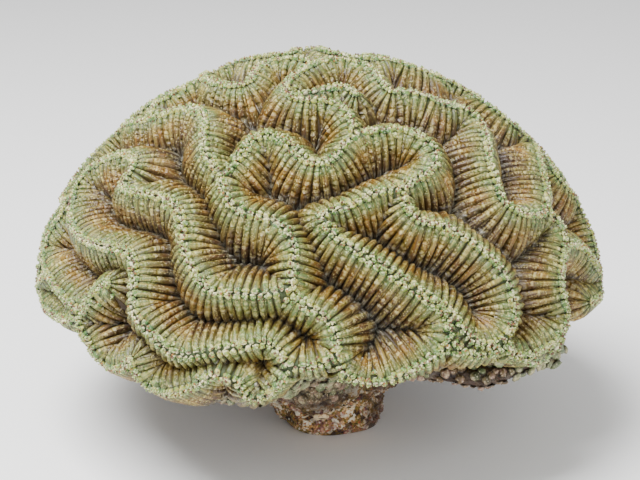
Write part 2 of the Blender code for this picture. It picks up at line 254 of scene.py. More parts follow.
def crown_point(azimuth, angle):
    """Point on the smooth surface that touches the crests. Its top evens out to a round crown."""
    azimuth = np.asarray(azimuth, float)
    angle = np.asarray(angle, float)
    turn = np.radians(azimuth)
    lift = np.radians(np.clip(angle, 0, WIDEST_ANGLE))
    below = np.clip((angle - WIDEST_ANGLE) / (RIM_ANGLE - WIDEST_ANGLE), 0, PAST_RIM)
    share = np.clip(angle / ROUND_ANGLE, 0, 1)
    plan = HEAD_RADIUS.mean() * (1 - share) + around(HEAD_RADIUS, azimuth) * share
    out = np.sin(lift) ** (2 / CROWN_POWER)
    out = np.where(angle > WIDEST_ANGLE, 1 - RIM_TUCK * below ** 2, out)
    up = CROWN_RISE * np.cos(lift) ** (2 / CROWN_POWER)
    up = np.where(angle > WIDEST_ANGLE, -around(RIM_DROP, azimuth) * below, up)
    return np.stack([plan * out * np.cos(turn), plan * out * np.sin(turn), WIDEST_Z + up], -1)


def outside_crown(points):
    """Positive outside the smooth surface, negative inside it."""
    x, y, z = points[..., 0], points[..., 1], points[..., 2] - WIDEST_Z
    azimuth = np.degrees(np.arctan2(y, x))
    radius = np.hypot(x, y)
    rise = np.clip(z, 0, None) / CROWN_RISE
    plan = around(HEAD_RADIUS, azimuth)
    half = CROWN_POWER / 2
    angle = np.degrees(np.arctan2((radius / plan) ** half, rise ** half))
    share = np.clip(angle / ROUND_ANGLE, 0, 1)
    plan = HEAD_RADIUS.mean() * (1 - share) + plan * share
    below = np.clip(-z / around(RIM_DROP, azimuth), 0, PAST_RIM)
    above = (radius / plan) ** CROWN_POWER + rise ** CROWN_POWER - 1
    under = radius / (plan * (1 - RIM_TUCK * below ** 2)) - 1
    return np.where(z >= 0, above, under * CROWN_POWER)


def slope_of(points):
    """Gradient of the inside and outside test."""
    parts = []
    for axis in range(3):
        shift = np.zeros(3)
        shift[axis] = SLOPE_STEP
        ahead, behind = outside_crown(points + shift), outside_crown(points - shift)
        parts.append((ahead - behind) / (2 * SLOPE_STEP))
    return np.stack(parts, -1)


def settle(points, rounds=3):
    """Move points onto the dome along its slope, and give the normals there."""
    for _ in range(rounds):
        slope = slope_of(points)
        size = np.maximum((slope ** 2).sum(-1, keepdims=True), 1e-9)
        points = points - slope * outside_crown(points)[..., None] / size
    slope = slope_of(points)
    return points, slope / np.linalg.norm(slope, axis=-1, keepdims=True)


def unit(vectors):
    """Directions of length one."""
    return vectors / np.maximum(np.linalg.norm(vectors, axis=-1, keepdims=True), 1e-12)


def angle_of(points):
    """Angle from the top of the dome, 90 at the widest level and 120 at the bottom of the rim."""
    x, y, z = points[..., 0], points[..., 1], points[..., 2] - WIDEST_Z
    azimuth = np.degrees(np.arctan2(y, x))
    half = CROWN_POWER / 2
    radius = np.hypot(x, y) / around(HEAD_RADIUS, azimuth)
    angle = np.degrees(np.arctan2(radius ** half, (np.clip(z, 0, None) / CROWN_RISE) ** half))
    below = np.clip(-z / around(RIM_DROP, azimuth), 0, FAR_PAST_RIM)
    return np.where(z < 0, WIDEST_ANGLE + (RIM_ANGLE - WIDEST_ANGLE) * below, angle)


print("top of the dome", crown_point(0, 0).round(4), "bottom of its rim", crown_point(0, RIM_ANGLE).round(4))

# %% [markdown]
# The points of a wall are few, so a smooth curve is drawn through them first. Those of the front view are
# then carried along the lines of sight to where these meet the dome, and each crest gets even steps.

# %% Carry the crests onto the dome
CREST_STEP = 0.0005
VIEW_STEP = 2.0
REAR_STEP = 0.001
SIGHT_BEFORE = 0.14
SIGHT_BEHIND = 0.12
SIGHT_STEPS = 900
SIGHT_HALVINGS = 20


def smooth_line(points, step):
    """Smooth curve through the points, with a sample about every step."""
    points = np.asarray(points, float)
    last = len(points) - 1
    line = []
    for i in range(last):
        four = points[max(i - 1, 0)], points[i], points[i + 1], points[min(i + 2, last)]
        parts = max(2, int(np.linalg.norm(four[2] - four[1]) / step))
        line += [curve_through(*four, k / parts) for k in range(parts)]
    line.append(points[last])
    return np.array(line)


def onto_crown(view_points):
    """Carry points of the front view back onto the dome."""
    back = np.array([0, -math.cos(VIEW_TILT), math.sin(VIEW_TILT)])
    up = np.array([0, math.sin(VIEW_TILT), math.cos(VIEW_TILT)])
    right = np.array([1.0, 0, 0])
    eye = np.array([0, 0, VIEW_TARGET_Z]) + back * VIEW_DISTANCE
    across = (view_points[:, :1] - VIEW_CENTRE[0]) / VIEW_FOCAL
    down = (view_points[:, 1:] - VIEW_CENTRE[1]) / VIEW_FOCAL
    rays = across * right - down * up - back
    reach = np.linspace(VIEW_DISTANCE - SIGHT_BEFORE, VIEW_DISTANCE + SIGHT_BEHIND, SIGHT_STEPS)
    outside = outside_crown(eye + rays[:, None, :] * reach[None, :, None])
    first = np.argmax(outside < 0, axis=1)
    nearest = np.argmin(outside, axis=1)
    meets = (outside < 0).any(axis=1)
    near, far = reach[np.maximum(first - 1, 0)], reach[first]
    for _ in range(SIGHT_HALVINGS):
        middle = (near + far) / 2
        inside = outside_crown(eye + rays * middle[:, None]) < 0
        far = np.where(inside, middle, far)
        near = np.where(inside, near, middle)
    return eye + rays * np.where(meets, far, reach[nearest])[:, None]


def resample(line, step):
    """Points at even steps along a line in space."""
    run = np.concatenate([[0], np.cumsum(np.linalg.norm(np.diff(line, axis=0), axis=1))])
    count = max(int(run[-1] / step), 2)
    marks = np.linspace(0, run[-1], count + 1)
    return np.stack([np.interp(marks, run, line[:, k]) for k in range(3)], 1)


crest_lines = []
for wall_points in FRONT_WALLS.values():
    crest_lines.append(resample(onto_crown(smooth_line(wall_points, VIEW_STEP)), CREST_STEP))
for wall_points in REAR_WALLS.values():
    azimuths, angles = np.array(wall_points, float).T
    crest_lines.append(resample(smooth_line(crown_point(azimuths, angles), REAR_STEP), CREST_STEP))
crest_total = sum(len(line) for line in crest_lines) * CREST_STEP
print("walls", len(crest_lines), "length of crests in metres", round(crest_total, 3))

# %% [markdown]
# How deep the skin lies and what colour it has both follow from the distance to the nearest crest, which
# a search tree of crest points tells quickly. A flank falls gently from its crest and steeply to its valley.

# %% Distance from the crests and depth of the flanks
SKIN_DROP = 0.0012
FLANK_ROUND = 0.975
FLANK_SLOPE = 0.50
CREST_EASE = 0.11
DEPTH_OVER_WIDTH = 0.0020
DEPTH_LEAST = 0.0050
DEPTH_MOST = 0.0130
SHALLOW_ANGLES = (98, RIM_ANGLE)
RIM_DEPTH_SHARE = 0.45


def cloud_tree(points):
    """A search tree that finds the nearest of these points."""
    tree = KDTree(len(points))
    for number, point in enumerate(points):
        tree.insert(Vector(point), number)
    tree.balance()
    return tree


crest_tree = cloud_tree(np.concatenate(crest_lines))


def crest_gap(points):
    """Distance from each point to the nearest crest."""
    return np.array([crest_tree.find(Vector(point))[2] for point in points])


def sink_at(away, half_width, angle):
    """How far the skin lies under the dome, by the distance from the crest and the half width there."""
    share = np.clip(away / half_width, 0, 1)
    bulge = 1 - np.sqrt(1 - (FLANK_ROUND * share) ** 2)
    full = 1 - math.sqrt(1 - FLANK_ROUND ** 2)
    eased = np.sqrt(share ** 2 + CREST_EASE ** 2) - CREST_EASE
    fall = FLANK_SLOPE * eased / (math.hypot(1, CREST_EASE) - CREST_EASE) + (1 - FLANK_SLOPE) * bulge / full
    depth = np.clip(half_width + DEPTH_OVER_WIDTH, DEPTH_LEAST, DEPTH_MOST)
    sink = SKIN_DROP + depth * fall
    return sink * np.interp(angle, SHALLOW_ANGLES, [1, RIM_DEPTH_SHARE])


print("depth in mm of a valley 16 mm wide", round(1000 * float(sink_at(0.008, 0.008, WIDEST_ANGLE)), 1))

# %% [markdown]
# Every finished mesh goes into the scene in the same way: as a piece at the origin that rides on the one
# body, with smooth shading, and with values at its points that the materials read later.

# %% Helpers that put finished meshes in the scene
def new_piece(name, mesh_data, node=None):
    """Put a finished mesh in the scene as a piece that rides on the one body."""
    piece = bpy.data.objects.new(name, mesh_data)
    bpy.context.collection.objects.link(piece)
    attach(piece, "root")
    if node:
        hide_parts(node)
    return piece


def keep_values(mesh_data, **named):
    """Store a number at each vertex under a name that the materials read."""
    for name, values in named.items():
        layer = mesh_data.attributes.new(name, "FLOAT", "POINT")
        layer.data.foreach_set("value", np.asarray(values, np.float32))


def smooth_all(mesh_data):
    """Smooth shading on every face."""
    mesh_data.polygons.foreach_set("use_smooth", np.ones(len(mesh_data.polygons), bool))


def copies_mesh(name, points, faces):
    """One mesh of many copies: the points of each copy, and the faces of the first."""
    copies, size = points.shape[:2]
    shifted = faces[None] + (np.arange(copies) * size)[:, None, None]
    mesh_data = bpy.data.meshes.new(name)
    mesh_data.from_pydata(points.reshape(-1, 3).tolist(), [], shifted.reshape(-1, faces.shape[1]).tolist())
    smooth_all(mesh_data)
    return mesh_data


# %% [markdown]
# Ribs run from every crest down both flanks to the valley floor, about 2.6 mm apart. On the real coral they
# fan round the ends of the walls and crowd together in the bends. So a line is offset from each crest to
# the middle of its flank, the ribs are spaced evenly on that line, and each one then walks straight down
# until it is nearer to another crest than to its own.

# %% Where the ribs start
RIB_SPACING = 0.0026
FLANK_REACH = 0.0045
NEAR_ENOUGH = 0.00035
LARGEST_JUMP = 0.004
END_SWEEP = 26
SHORTEST_RUN = 2


def side_chain(line):
    """Roots and directions round a crest: along one side, round the end, back and round the start."""
    _, normals = settle(line, 1)
    along = np.gradient(line, axis=0)
    along = unit(along - (along * normals).sum(1, keepdims=True) * normals)
    aside = unit(np.cross(normals, along))
    sweep = np.linspace(0, math.pi, END_SWEEP)[1:-1, None]
    roots = [line]
    ways = [aside]
    roots.append(np.repeat(line[-1:], len(sweep), 0))
    ways.append(aside[-1] * np.cos(sweep) + along[-1] * np.sin(sweep))
    roots.append(line[::-1])
    ways.append(-aside[::-1])
    roots.append(np.repeat(line[:1], len(sweep), 0))
    ways.append(-aside[0] * np.cos(sweep) - along[0] * np.sin(sweep))
    return np.concatenate(roots), np.concatenate(ways)


rib_runs = []
for line in crest_lines:
    roots, ways = side_chain(line)
    middles, _ = settle(roots + ways * FLANK_REACH)
    clear = crest_gap(middles) > FLANK_REACH - NEAR_ENOUGH
    jump = np.linalg.norm(np.diff(middles, axis=0), axis=1) > LARGEST_JUMP
    start = 0
    for i in range(1, len(roots) + 1):
        ends = i == len(roots) or not clear[i] or not clear[i - 1] or jump[i - 1]
        if not ends:
            continue
        if clear[start] and i - start > SHORTEST_RUN:
            rib_runs.append((roots[start:i], middles[start:i]))
        start = i

rib_roots, rib_ways, rib_run = [], [], []
for number, (roots, middles) in enumerate(rib_runs):
    run = np.concatenate([[0], np.cumsum(np.linalg.norm(np.diff(middles, axis=0), axis=1))])
    count = max(int(round(run[-1] / RIB_SPACING)), 1)
    marks = (np.arange(count) + 0.5) * run[-1] / count
    root = np.stack([np.interp(marks, run, roots[:, k]) for k in range(3)], 1)
    middle = np.stack([np.interp(marks, run, middles[:, k]) for k in range(3)], 1)
    rib_roots.append(root)
    rib_ways.append(unit(middle - root))
    rib_run.append(np.full(count, number))
rib_roots = np.concatenate(rib_roots)
rib_ways = np.concatenate(rib_ways)
rib_run = np.concatenate(rib_run)
print("runs", len(rib_runs), "ribs", len(rib_roots))

# %% [markdown]
# Each rib leaves its crest straight and follows the dome in short steps. It has reached the valley floor
# as soon as another crest is nearer than its own, and it ends below the rim in any case.

# %% Walk the ribs down their flanks
WALK_STEP = 0.0005
WALK_STEPS = 30
LOWEST_ANGLE = 124


def walk_down(roots, ways):
    """Follow the dome from each root in its own direction, and find where its valley ends it."""
    place, normal = settle(roots, 1)
    heading = ways
    track, normals = [place], [normal]
    stop = np.full(len(roots), WALK_STEPS)
    for step in range(1, WALK_STEPS + 1):
        heading = unit(heading - (heading * normal).sum(1, keepdims=True) * normal)
        place, normal = settle(place + heading * WALK_STEP, 2)
        track.append(place)
        normals.append(normal)
        left = crest_gap(place) < step * WALK_STEP - NEAR_ENOUGH
        low = angle_of(place) > LOWEST_ANGLE
        stop = np.where((left | low) & (stop == WALK_STEPS), step, stop)
    return np.stack(track, 1), np.stack(normals, 1), stop


rib_track, rib_normals, rib_stop = walk_down(rib_roots, rib_ways)
rib_length = rib_stop * WALK_STEP
print("rib lengths in mm, least, middle and most", np.percentile(rib_length * 1000, [0, 50, 100]).round(1))

# %% [markdown]
# The length of a rib is also half the width of its valley there. The lengths are evened out along each row
# of ribs, and a search tree of points on all of them tells the half width anywhere on the head.

# %% Half width of the valleys
WIDTH_NEIGHBOURS = 8
WIDTH_SOFTEN = 0.0008
WIDTH_EVERY = 2
EVEN_ROUNDS = 2
for _ in range(EVEN_ROUNDS):
    before = np.where(rib_run == np.roll(rib_run, 1), np.roll(rib_length, 1), rib_length)
    after = np.where(rib_run == np.roll(rib_run, -1), np.roll(rib_length, -1), rib_length)
    rib_length = (before + 2 * rib_length + after) / 4
width_points = [track[:stop + 1:WIDTH_EVERY] for track, stop in zip(rib_track, rib_stop)]
width_values = [np.full(len(points), length) for points, length in zip(width_points, rib_length)]
width_values = np.concatenate(width_values)
width_points = np.concatenate(width_points)
width_tree = cloud_tree(width_points)


def half_width_at(points):
    """Half width of the valley flank round each point, from the ribs nearest to it."""
    values = []
    for point in points:
        found = width_tree.find_n(Vector(point), WIDTH_NEIGHBOURS)
        near = np.array([1 / (item[2] + WIDTH_SOFTEN) for item in found])
        size = np.array([width_values[item[1]] for item in found])
        values.append((near * size).sum() / near.sum())
    return np.array(values)


print("half widths in mm, least and most", np.percentile(width_values * 1000, [0, 100]).round(1))

# %% [markdown]
# Inside a tight bend and beside a fork the crest is longer than the middle of the flank, so the even
# spacing leaves bare stretches of crest. Short ribs fill them: each starts where no other rib is near and
# stops where it runs into its neighbours.

# %% Short ribs for the bends and forks
BEAD_REACH = 0.0013
BEAD_ROOM = 0.00185
SHORT_EXTRA = 0.0003
MEET_GAP = 0.0010
MEET_FIRST = 3
SHORT_LEAST = 5
bead_marks = rib_track[:, int(round(BEAD_REACH / WALK_STEP))]
bead_tree = cloud_tree(bead_marks)
short_roots, short_ways, short_marks = [], [], []
for line in crest_lines:
    roots, ways = side_chain(line)
    marks, _ = settle(roots + ways * BEAD_REACH, 2)
    clear = crest_gap(marks) > BEAD_REACH - NEAR_ENOUGH
    for root, way, mark, good in zip(roots, ways, marks, clear):
        if not good or bead_tree.find(Vector(mark))[2] < BEAD_ROOM:
            continue
        others = np.linalg.norm(np.array(short_marks) - mark, axis=1) if short_marks else np.ones(1)
        if others.min() < BEAD_ROOM + SHORT_EXTRA:
            continue
        short_roots.append(root)
        short_ways.append(way)
        short_marks.append(mark)
short_roots = np.array(short_roots)
short_ways = np.array(short_ways)
short_track, short_normals, short_stop = walk_down(short_roots, short_ways)
main_tree = cloud_tree(np.concatenate([track[:stop + 1] for track, stop in zip(rib_track, rib_stop)]))
for number, track in enumerate(short_track):
    for step in range(MEET_FIRST, short_stop[number]):
        if main_tree.find(Vector(track[step]))[2] < MEET_GAP:
            short_stop[number] = step
            break
short_length = np.maximum(short_stop, SHORT_LEAST) * WALK_STEP
print("short ribs", len(short_length), "median mm", round(float(np.median(short_length)) * 1000, 1))

# %% [markdown]
# Round the end of a wall the ribs spread apart on their way down, and thinner ones start between them.

# %% Thin ribs where the others spread
SPREAD_START = 0.0032
SPREAD_END = 0.0040
SPREAD_MOST = 0.011
THIN_LEAST = 4
thin_track, thin_normals, thin_start, thin_stop = [], [], [], []
for number in range(len(rib_track) - 1):
    if rib_run[number] != rib_run[number + 1]:
        continue
    stop = min(rib_stop[number], rib_stop[number + 1])
    gaps = np.linalg.norm(rib_track[number] - rib_track[number + 1], axis=1)
    if gaps[stop] < SPREAD_END or gaps[stop] > SPREAD_MOST:
        continue
    first = int(np.argmax(gaps > SPREAD_START))
    if stop - first < THIN_LEAST:
        continue
    middle, normal = settle((rib_track[number] + rib_track[number + 1]) / 2, 2)
    thin_track.append(middle)
    thin_normals.append(normal)
    thin_start.append(first)
    thin_stop.append(stop)
print("thin ribs", len(thin_track))

# %% [markdown]
# The living skin between the crests is one closed dome, pressed in wherever it is far from a crest. It
# could be sculpted, but pressing a fine ball in by its distance from the crest lines keeps every valley
# exactly where the walls put it. The skin carries how far down the flank each point lies, for its colours.

# %% The living skin
SKIN_SUBDIVISIONS = 7
RIM_POLAR = 112
SEAT_Z = 0.048
LIP_INNER = 0.80
LIP_SHARE = 0.16
LIP_CURVE = 1.5
LOW_POLAR = (100, 107)
bpy.ops.object.select_all(action="DESELECT")
bpy.ops.mesh.primitive_ico_sphere_add(subdivisions=SKIN_SUBDIVISIONS, radius=1)
ball = bpy.context.object
ball_mesh = ball.data
ball_points = np.empty(len(ball_mesh.vertices) * 3)
ball_mesh.vertices.foreach_get("co", ball_points)
ball_points = ball_points.reshape(-1, 3)
azimuth = np.degrees(np.arctan2(ball_points[:, 1], ball_points[:, 0]))
polar = np.degrees(np.arccos(np.clip(ball_points[:, 2], -1, 1)))
angle = np.clip(polar * RIM_ANGLE / RIM_POLAR, 0, RIM_ANGLE)
here = crown_point(azimuth, angle)
outward = unit(slope_of(here))
away = crest_gap(here)
half_width = np.maximum(half_width_at(here), away)
shape = here - outward * sink_at(away, half_width, angle)[:, None]
under = np.clip((polar - RIM_POLAR) / (180 - RIM_POLAR), 0, 1)
plan = around(HEAD_RADIUS, azimuth)
reach = np.hypot(shape[:, 0], shape[:, 1]) / plan
share = np.interp(under, [0, LIP_SHARE], [0, 1])
radius = np.interp(under, [LIP_SHARE, 1], [LIP_INNER, 0])
radius = np.where(under < LIP_SHARE, reach + (LIP_INNER - reach) * share, radius) * plan
height = shape[:, 2] + (SEAT_Z - shape[:, 2]) * share ** LIP_CURVE
turn = np.radians(azimuth)
below = np.stack([radius * np.cos(turn), radius * np.sin(turn), height], 1)
shape = np.where(under[:, None] > 0, below, shape)
skin_mesh = bpy.data.meshes.new("coral_skin")
skin_mesh.from_pydata(shape.tolist(), [], [tuple(face.vertices) for face in ball_mesh.polygons])
bpy.data.objects.remove(ball)
low = np.interp(polar, LOW_POLAR, [0, 1])
keep_values(skin_mesh, gap=away * 1000, down=away / half_width, low=low)
smooth_all(skin_mesh)
coral_skin = new_piece("coral_skin", skin_mesh, "coral_head")
print("skin faces", len(skin_mesh.polygons))

# %% [markdown]
# A rib is a rounded bar with a bead at its upper end, where it meets the ribs of the other flank on the
# crest like a zip. It is shaped once as a small grid, which a cross section and a profile bend into a bar.

# %% Shape of a rib
RIB_ACROSS = 5
RIB_ROWS = 11
ROW_HEIGHTS = np.array([0.10, 0.62, 0.80, 0.92, 1.0, 1.04, 1.04, 1.04, 1.02, 0.88, 0.10])
ROW_WIDTHS = np.array([0.45, 0.85, 0.97, 1.0, 1.0, 1.0, 1.0, 1.0, 0.98, 0.92, 0.60])
THIN_HEIGHTS = np.array([0.05, 0.35, 0.55, 0.7, 0.8, 0.85, 0.85, 0.85, 0.8, 0.6, 0.05])
THIN_WIDTHS = np.array([0.3, 0.5, 0.65, 0.75, 0.85, 0.95, 1.0, 1.0, 0.95, 0.85, 0.55])
SIDE_PLACES = np.array([-1.0, -0.64, 0.0, 0.64, 1.0])
SIDE_HEIGHTS = np.array([-0.40, 0.64, 1.0, 0.64, -0.40])
FINE_ACROSS = 3
FINE_ROWS = 8
FINE_PLACES = np.array([-1.0, 0.0, 1.0])
FINE_SIDE_HEIGHTS = np.array([-0.3, 1.0, -0.3])
FINE_HEIGHTS = np.array([0.15, 0.9, 1.0, 0.95, 0.85, 0.7, 0.45, 0.05])
FINE_WIDTHS = np.array([0.5, 0.9, 1.0, 1.0, 0.95, 0.85, 0.65, 0.35])


def rib_form(across, rows, side_places, side_heights, heights, widths):
    """One rib as a flat grid, and the cross section and profile that bend it into a bar."""
    bpy.ops.object.select_all(action="DESELECT")
    bpy.ops.mesh.primitive_grid_add(x_subdivisions=across - 1, y_subdivisions=rows - 1, size=2)
    master = bpy.context.object
    points = np.array([v.co[:] for v in master.data.vertices])
    faces = np.array([tuple(f.vertices) for f in master.data.polygons])
    bpy.data.objects.remove(master)
    side = np.rint((points[:, 0] + 1) / 2 * (across - 1)).astype(int)
    row = np.rint((points[:, 1] + 1) / 2 * (rows - 1)).astype(int)
    return {"faces": faces, "count": len(points), "row": row, "rows": rows, "side": side_places[side],
            "lift": side_heights[side], "heights": heights, "widths": widths}


MAIN_FORM = rib_form(RIB_ACROSS, RIB_ROWS, SIDE_PLACES, SIDE_HEIGHTS, ROW_HEIGHTS, ROW_WIDTHS)
THIN_FORM = rib_form(RIB_ACROSS, RIB_ROWS, SIDE_PLACES, SIDE_HEIGHTS, THIN_HEIGHTS, THIN_WIDTHS)
FINE_FORM = rib_form(FINE_ACROSS, FINE_ROWS, FINE_PLACES, FINE_SIDE_HEIGHTS, FINE_HEIGHTS, FINE_WIDTHS)
print("faces of a rib", len(MAIN_FORM["faces"]), "and of a fine one", len(FINE_FORM["faces"]))

# %% [markdown]
# The bar is laid down every path as a copy with its own mesh. Its rows stand close together at the bead,
# and it is as wide at each row as the room between its neighbours there.

# %% Lay a rib down every path
RIB_HEIGHT = 0.00140
RIB_FILL = 0.515
ROW_PLACES = np.array([0.0004, 0.0009, 0.0016, 0.0025, 0.0036])
BEAD_FULL = 0.0045
FULL_ROOM = 0.0025
ROOM_LEAST = 0.0006
ROOM_MOST = 0.0040
NEIGHBOUR_MOST = 0.012
TALL_LEAST = 0.55
TALL_MOST = 1.2
RIB_STRAY = 0.07
ROW_STRAY = 0.04
WIDTH_STRAY = 0.03


def row_distances(length, begin, rows):
    """Distance from the crest of each row of a rib that is this long, or that begins lower down."""
    if begin is not None:
        return begin[:, None] + (length - begin)[:, None] * np.linspace(0, 1, rows)
    body_share = np.linspace(0, 1, rows - len(ROW_PLACES) + 1)[1:]
    bead = ROW_PLACES * np.minimum(length / BEAD_FULL, 1)[:, None]
    tail = bead[:, -1:] + (length[:, None] - bead[:, -1:]) * body_share
    return np.concatenate([bead, tail], 1)


def read_track(track, distance):
    """Points of each track at its own distances."""
    place = np.clip(distance / WALK_STEP, 0, WALK_STEPS - 1e-6)
    index = place.astype(int)
    part = (place - index)[..., None]
    rows = np.arange(len(track))[:, None]
    return track[rows, index] * (1 - part) + track[rows, index + 1] * part


def neighbour_room(track, distance, run):
    """Room across each rib at its rows, from the ribs on either side of it in the same run."""
    here = read_track(track, distance)
    both = np.zeros(distance.shape)
    total = np.zeros(distance.shape)
    for shift in (-1, 1):
        other = np.roll(np.arange(len(track)), -shift)
        same = run[other] == run
        there = read_track(track[other], distance)
        gap = np.linalg.norm(there - here, axis=2)
        good = same[:, None] & (gap < NEIGHBOUR_MOST)
        total += np.where(good, gap, 0)
        both += good
    room = np.where(both > 0, total / np.maximum(both, 1), RIB_SPACING)
    return np.clip(room, ROOM_LEAST, ROOM_MOST)


def lay_ribs(track, normals, length, half_width, room, rng, form, begin=None):
    """Vertices, faces and values of all the ribs of a set."""
    distance = row_distances(length, begin, form["rows"])
    centre = read_track(track, distance)
    normal = unit(read_track(normals, distance))
    centre = centre - normal * sink_at(distance, half_width[:, None], angle_of(centre))[..., None]
    along = np.gradient(centre, axis=1)
    across = unit(np.cross(normal, along))
    up = unit(np.cross(along, across))
    up = up * np.sign((up * normal).sum(-1, keepdims=True))
    room = room(distance) if callable(room) else np.broadcast_to(room, distance.shape)
    tall = RIB_HEIGHT * np.clip(room / FULL_ROOM, TALL_LEAST, TALL_MOST)
    wobble = 1 + RIB_STRAY * rng.standard_normal((len(length), 1))
    wobble = wobble + ROW_STRAY * rng.standard_normal(distance.shape)
    half = room * RIB_FILL * form["widths"] * (1 + WIDTH_STRAY * rng.standard_normal(distance.shape))
    height = tall * form["heights"] * wobble
    row, side = form["row"], form["side"]
    points = centre[:, row]
    points = points + across[:, row] * (half[:, row] * side)[..., None]
    points = points + up[:, row] * (height[:, row] * form["lift"])[..., None]
    count = len(length)
    shift = (np.arange(count) * form["count"])[:, None, None]
    faces = (form["faces"][None] + shift).reshape(-1, 4)
    ends = np.maximum(length[:, None], 1e-6)
    down = np.broadcast_to((distance / ends)[:, row], points.shape[:2])
    crest = np.broadcast_to(distance[:, row] * 1000, points.shape[:2])
    edge = np.broadcast_to(np.abs(side), points.shape[:2])
    side_run = half[:, row] * side * 1000
    own = np.broadcast_to(rng.random((count, 1)), points.shape[:2])
    values = {"down": down, "crest": crest, "edge": edge, "own": own, "side": side_run}
    return points.reshape(-1, 3), faces, {key: value.ravel() for key, value in values.items()}


def rib_set(name, parts):
    """One piece from several sets of ribs."""
    points = np.concatenate([part[0] for part in parts])
    shifts = np.cumsum([0] + [len(part[0]) for part in parts])
    faces = np.concatenate([part[1] + shift for part, shift in zip(parts, shifts)])
    mesh_data = bpy.data.meshes.new(name)
    mesh_data.from_pydata(points.tolist(), [], faces.tolist())
    keep_values(mesh_data, **{key: np.concatenate([part[2][key] for part in parts]) for key in parts[0][2]})
    smooth_all(mesh_data)
    print(name, "faces", len(mesh_data.polygons))
    return new_piece(name, mesh_data)


# %% [markdown]
# The ribs are made in two pieces, the full ribs and the small ones, so that each piece stays light. All of
# them draw from one source of random numbers, which makes every run the same.

# %% Full ribs, short ribs and thin ribs
LEAST_RIB = 0.0022
SHORT_ROOM = 0.0021
THIN_ROOM = 0.0019
SHORT_WIDTH_STEP = 4
THIN_WIDTH_STEP = 8
rng = np.random.default_rng(SEED)
long_enough = rib_length > LEAST_RIB
kept_track = rib_track[long_enough]
kept_run = rib_run[long_enough]
walk_length = rib_stop * WALK_STEP
main_ribs = lay_ribs(kept_track, rib_normals[long_enough], walk_length[long_enough], rib_length[long_enough],
                     lambda distance: neighbour_room(kept_track, distance, kept_run), rng, MAIN_FORM)
short_width = half_width_at(short_track[:, SHORT_WIDTH_STEP])
short_ribs = lay_ribs(short_track, short_normals, short_length, short_width, SHORT_ROOM, rng, MAIN_FORM)
thin_begin = np.array(thin_start) * WALK_STEP
thin_end = np.array(thin_stop) * WALK_STEP
thin_width = half_width_at(np.array(thin_track)[:, THIN_WIDTH_STEP])
thin_ribs = lay_ribs(np.array(thin_track), np.array(thin_normals), thin_end, thin_width, THIN_ROOM, rng,
                     THIN_FORM, thin_begin)
rib_piece = rib_set("ribs", [main_ribs])
small_ribs = rib_set("small_ribs", [short_ribs, thin_ribs])

# %% [markdown]
# In most grooves a fine rib starts at the crest between two thick ones and fades out before the valley.
# These take the same path finder, half way between their neighbours, with a plainer grid of their own.

# %% Fine ribs in the grooves
FINE_BEGIN = 0.0013
FINE_SHARE = 0.62
FINE_ROOM = 0.00115
FINE_MARK = 0.003
FINE_LEAST_GAP = 0.0021
FINE_MOST_GAP = 0.006
FINE_LEAST_LENGTH = 0.004
FINE_CHANCE = 0.85
kept_normals = rib_normals[long_enough]
kept_length = walk_length[long_enough]
kept_width = rib_length[long_enough]
pair = np.flatnonzero(kept_run[:-1] == kept_run[1:])
pair_length = np.minimum(kept_length[pair], kept_length[pair + 1])
mark = np.full((len(pair), 1), FINE_MARK)
pair_gap = read_track(kept_track[pair], mark) - read_track(kept_track[pair + 1], mark)
pair_gap = np.linalg.norm(pair_gap, axis=2)[:, 0]
chosen = (pair_gap > FINE_LEAST_GAP) & (pair_gap < FINE_MOST_GAP) & (pair_length > FINE_LEAST_LENGTH)
chosen = chosen & (rng.random(len(pair)) < FINE_CHANCE)
pair = pair[chosen]
fine_track = (kept_track[pair] + kept_track[pair + 1]) / 2
fine_normals = unit(kept_normals[pair] + kept_normals[pair + 1])
fine_end = pair_length[chosen] * FINE_SHARE * rng.uniform(0.7, 1.2, len(pair))
fine_width = (kept_width[pair] + kept_width[pair + 1]) / 2
fine_set = lay_ribs(fine_track, fine_normals, fine_end, fine_width, FINE_ROOM, rng, FINE_FORM,
                    np.full(len(pair), FINE_BEGIN))
fine_set[2]["down"] = fine_set[2]["down"] * FINE_SHARE
fine_ribs = rib_set("fine_ribs", [fine_set])

# %% [markdown]
# Where a rib meets the crest it ends in a knob, and the two rows of knobs close over the crest like a zip.
# A knob is the upper part of a small ball. It is shaped once here, and all the others are copies of it.

# %% Shape of a knob
KNOB_CUT = -0.30


def points_and_faces(bm):
    """Points and faces of a small shape that is about to be copied."""
    bm.verts.index_update()
    points = np.array([v.co[:] for v in bm.verts])
    faces = np.array([[v.index for v in f.verts] for f in bm.faces])
    bm.free()
    return points, faces


bpy.ops.object.select_all(action="DESELECT")
bpy.ops.mesh.primitive_ico_sphere_add(subdivisions=2, radius=1)
knob = bpy.context.object
bm = bmesh.new()
bm.from_mesh(knob.data)
bmesh.ops.delete(bm, geom=[v for v in bm.verts if v.co.z < KNOB_CUT], context="VERTS")
knob_points, knob_faces = points_and_faces(bm)
bpy.data.objects.remove(knob)
print("knob faces", len(knob_faces))

# %% [markdown]
# On some walls the two rows of knobs stand apart, with a third row between them. For each such wall the
# table gives the stretch, as shares of its length from its first point, and how far its rows are moved out.

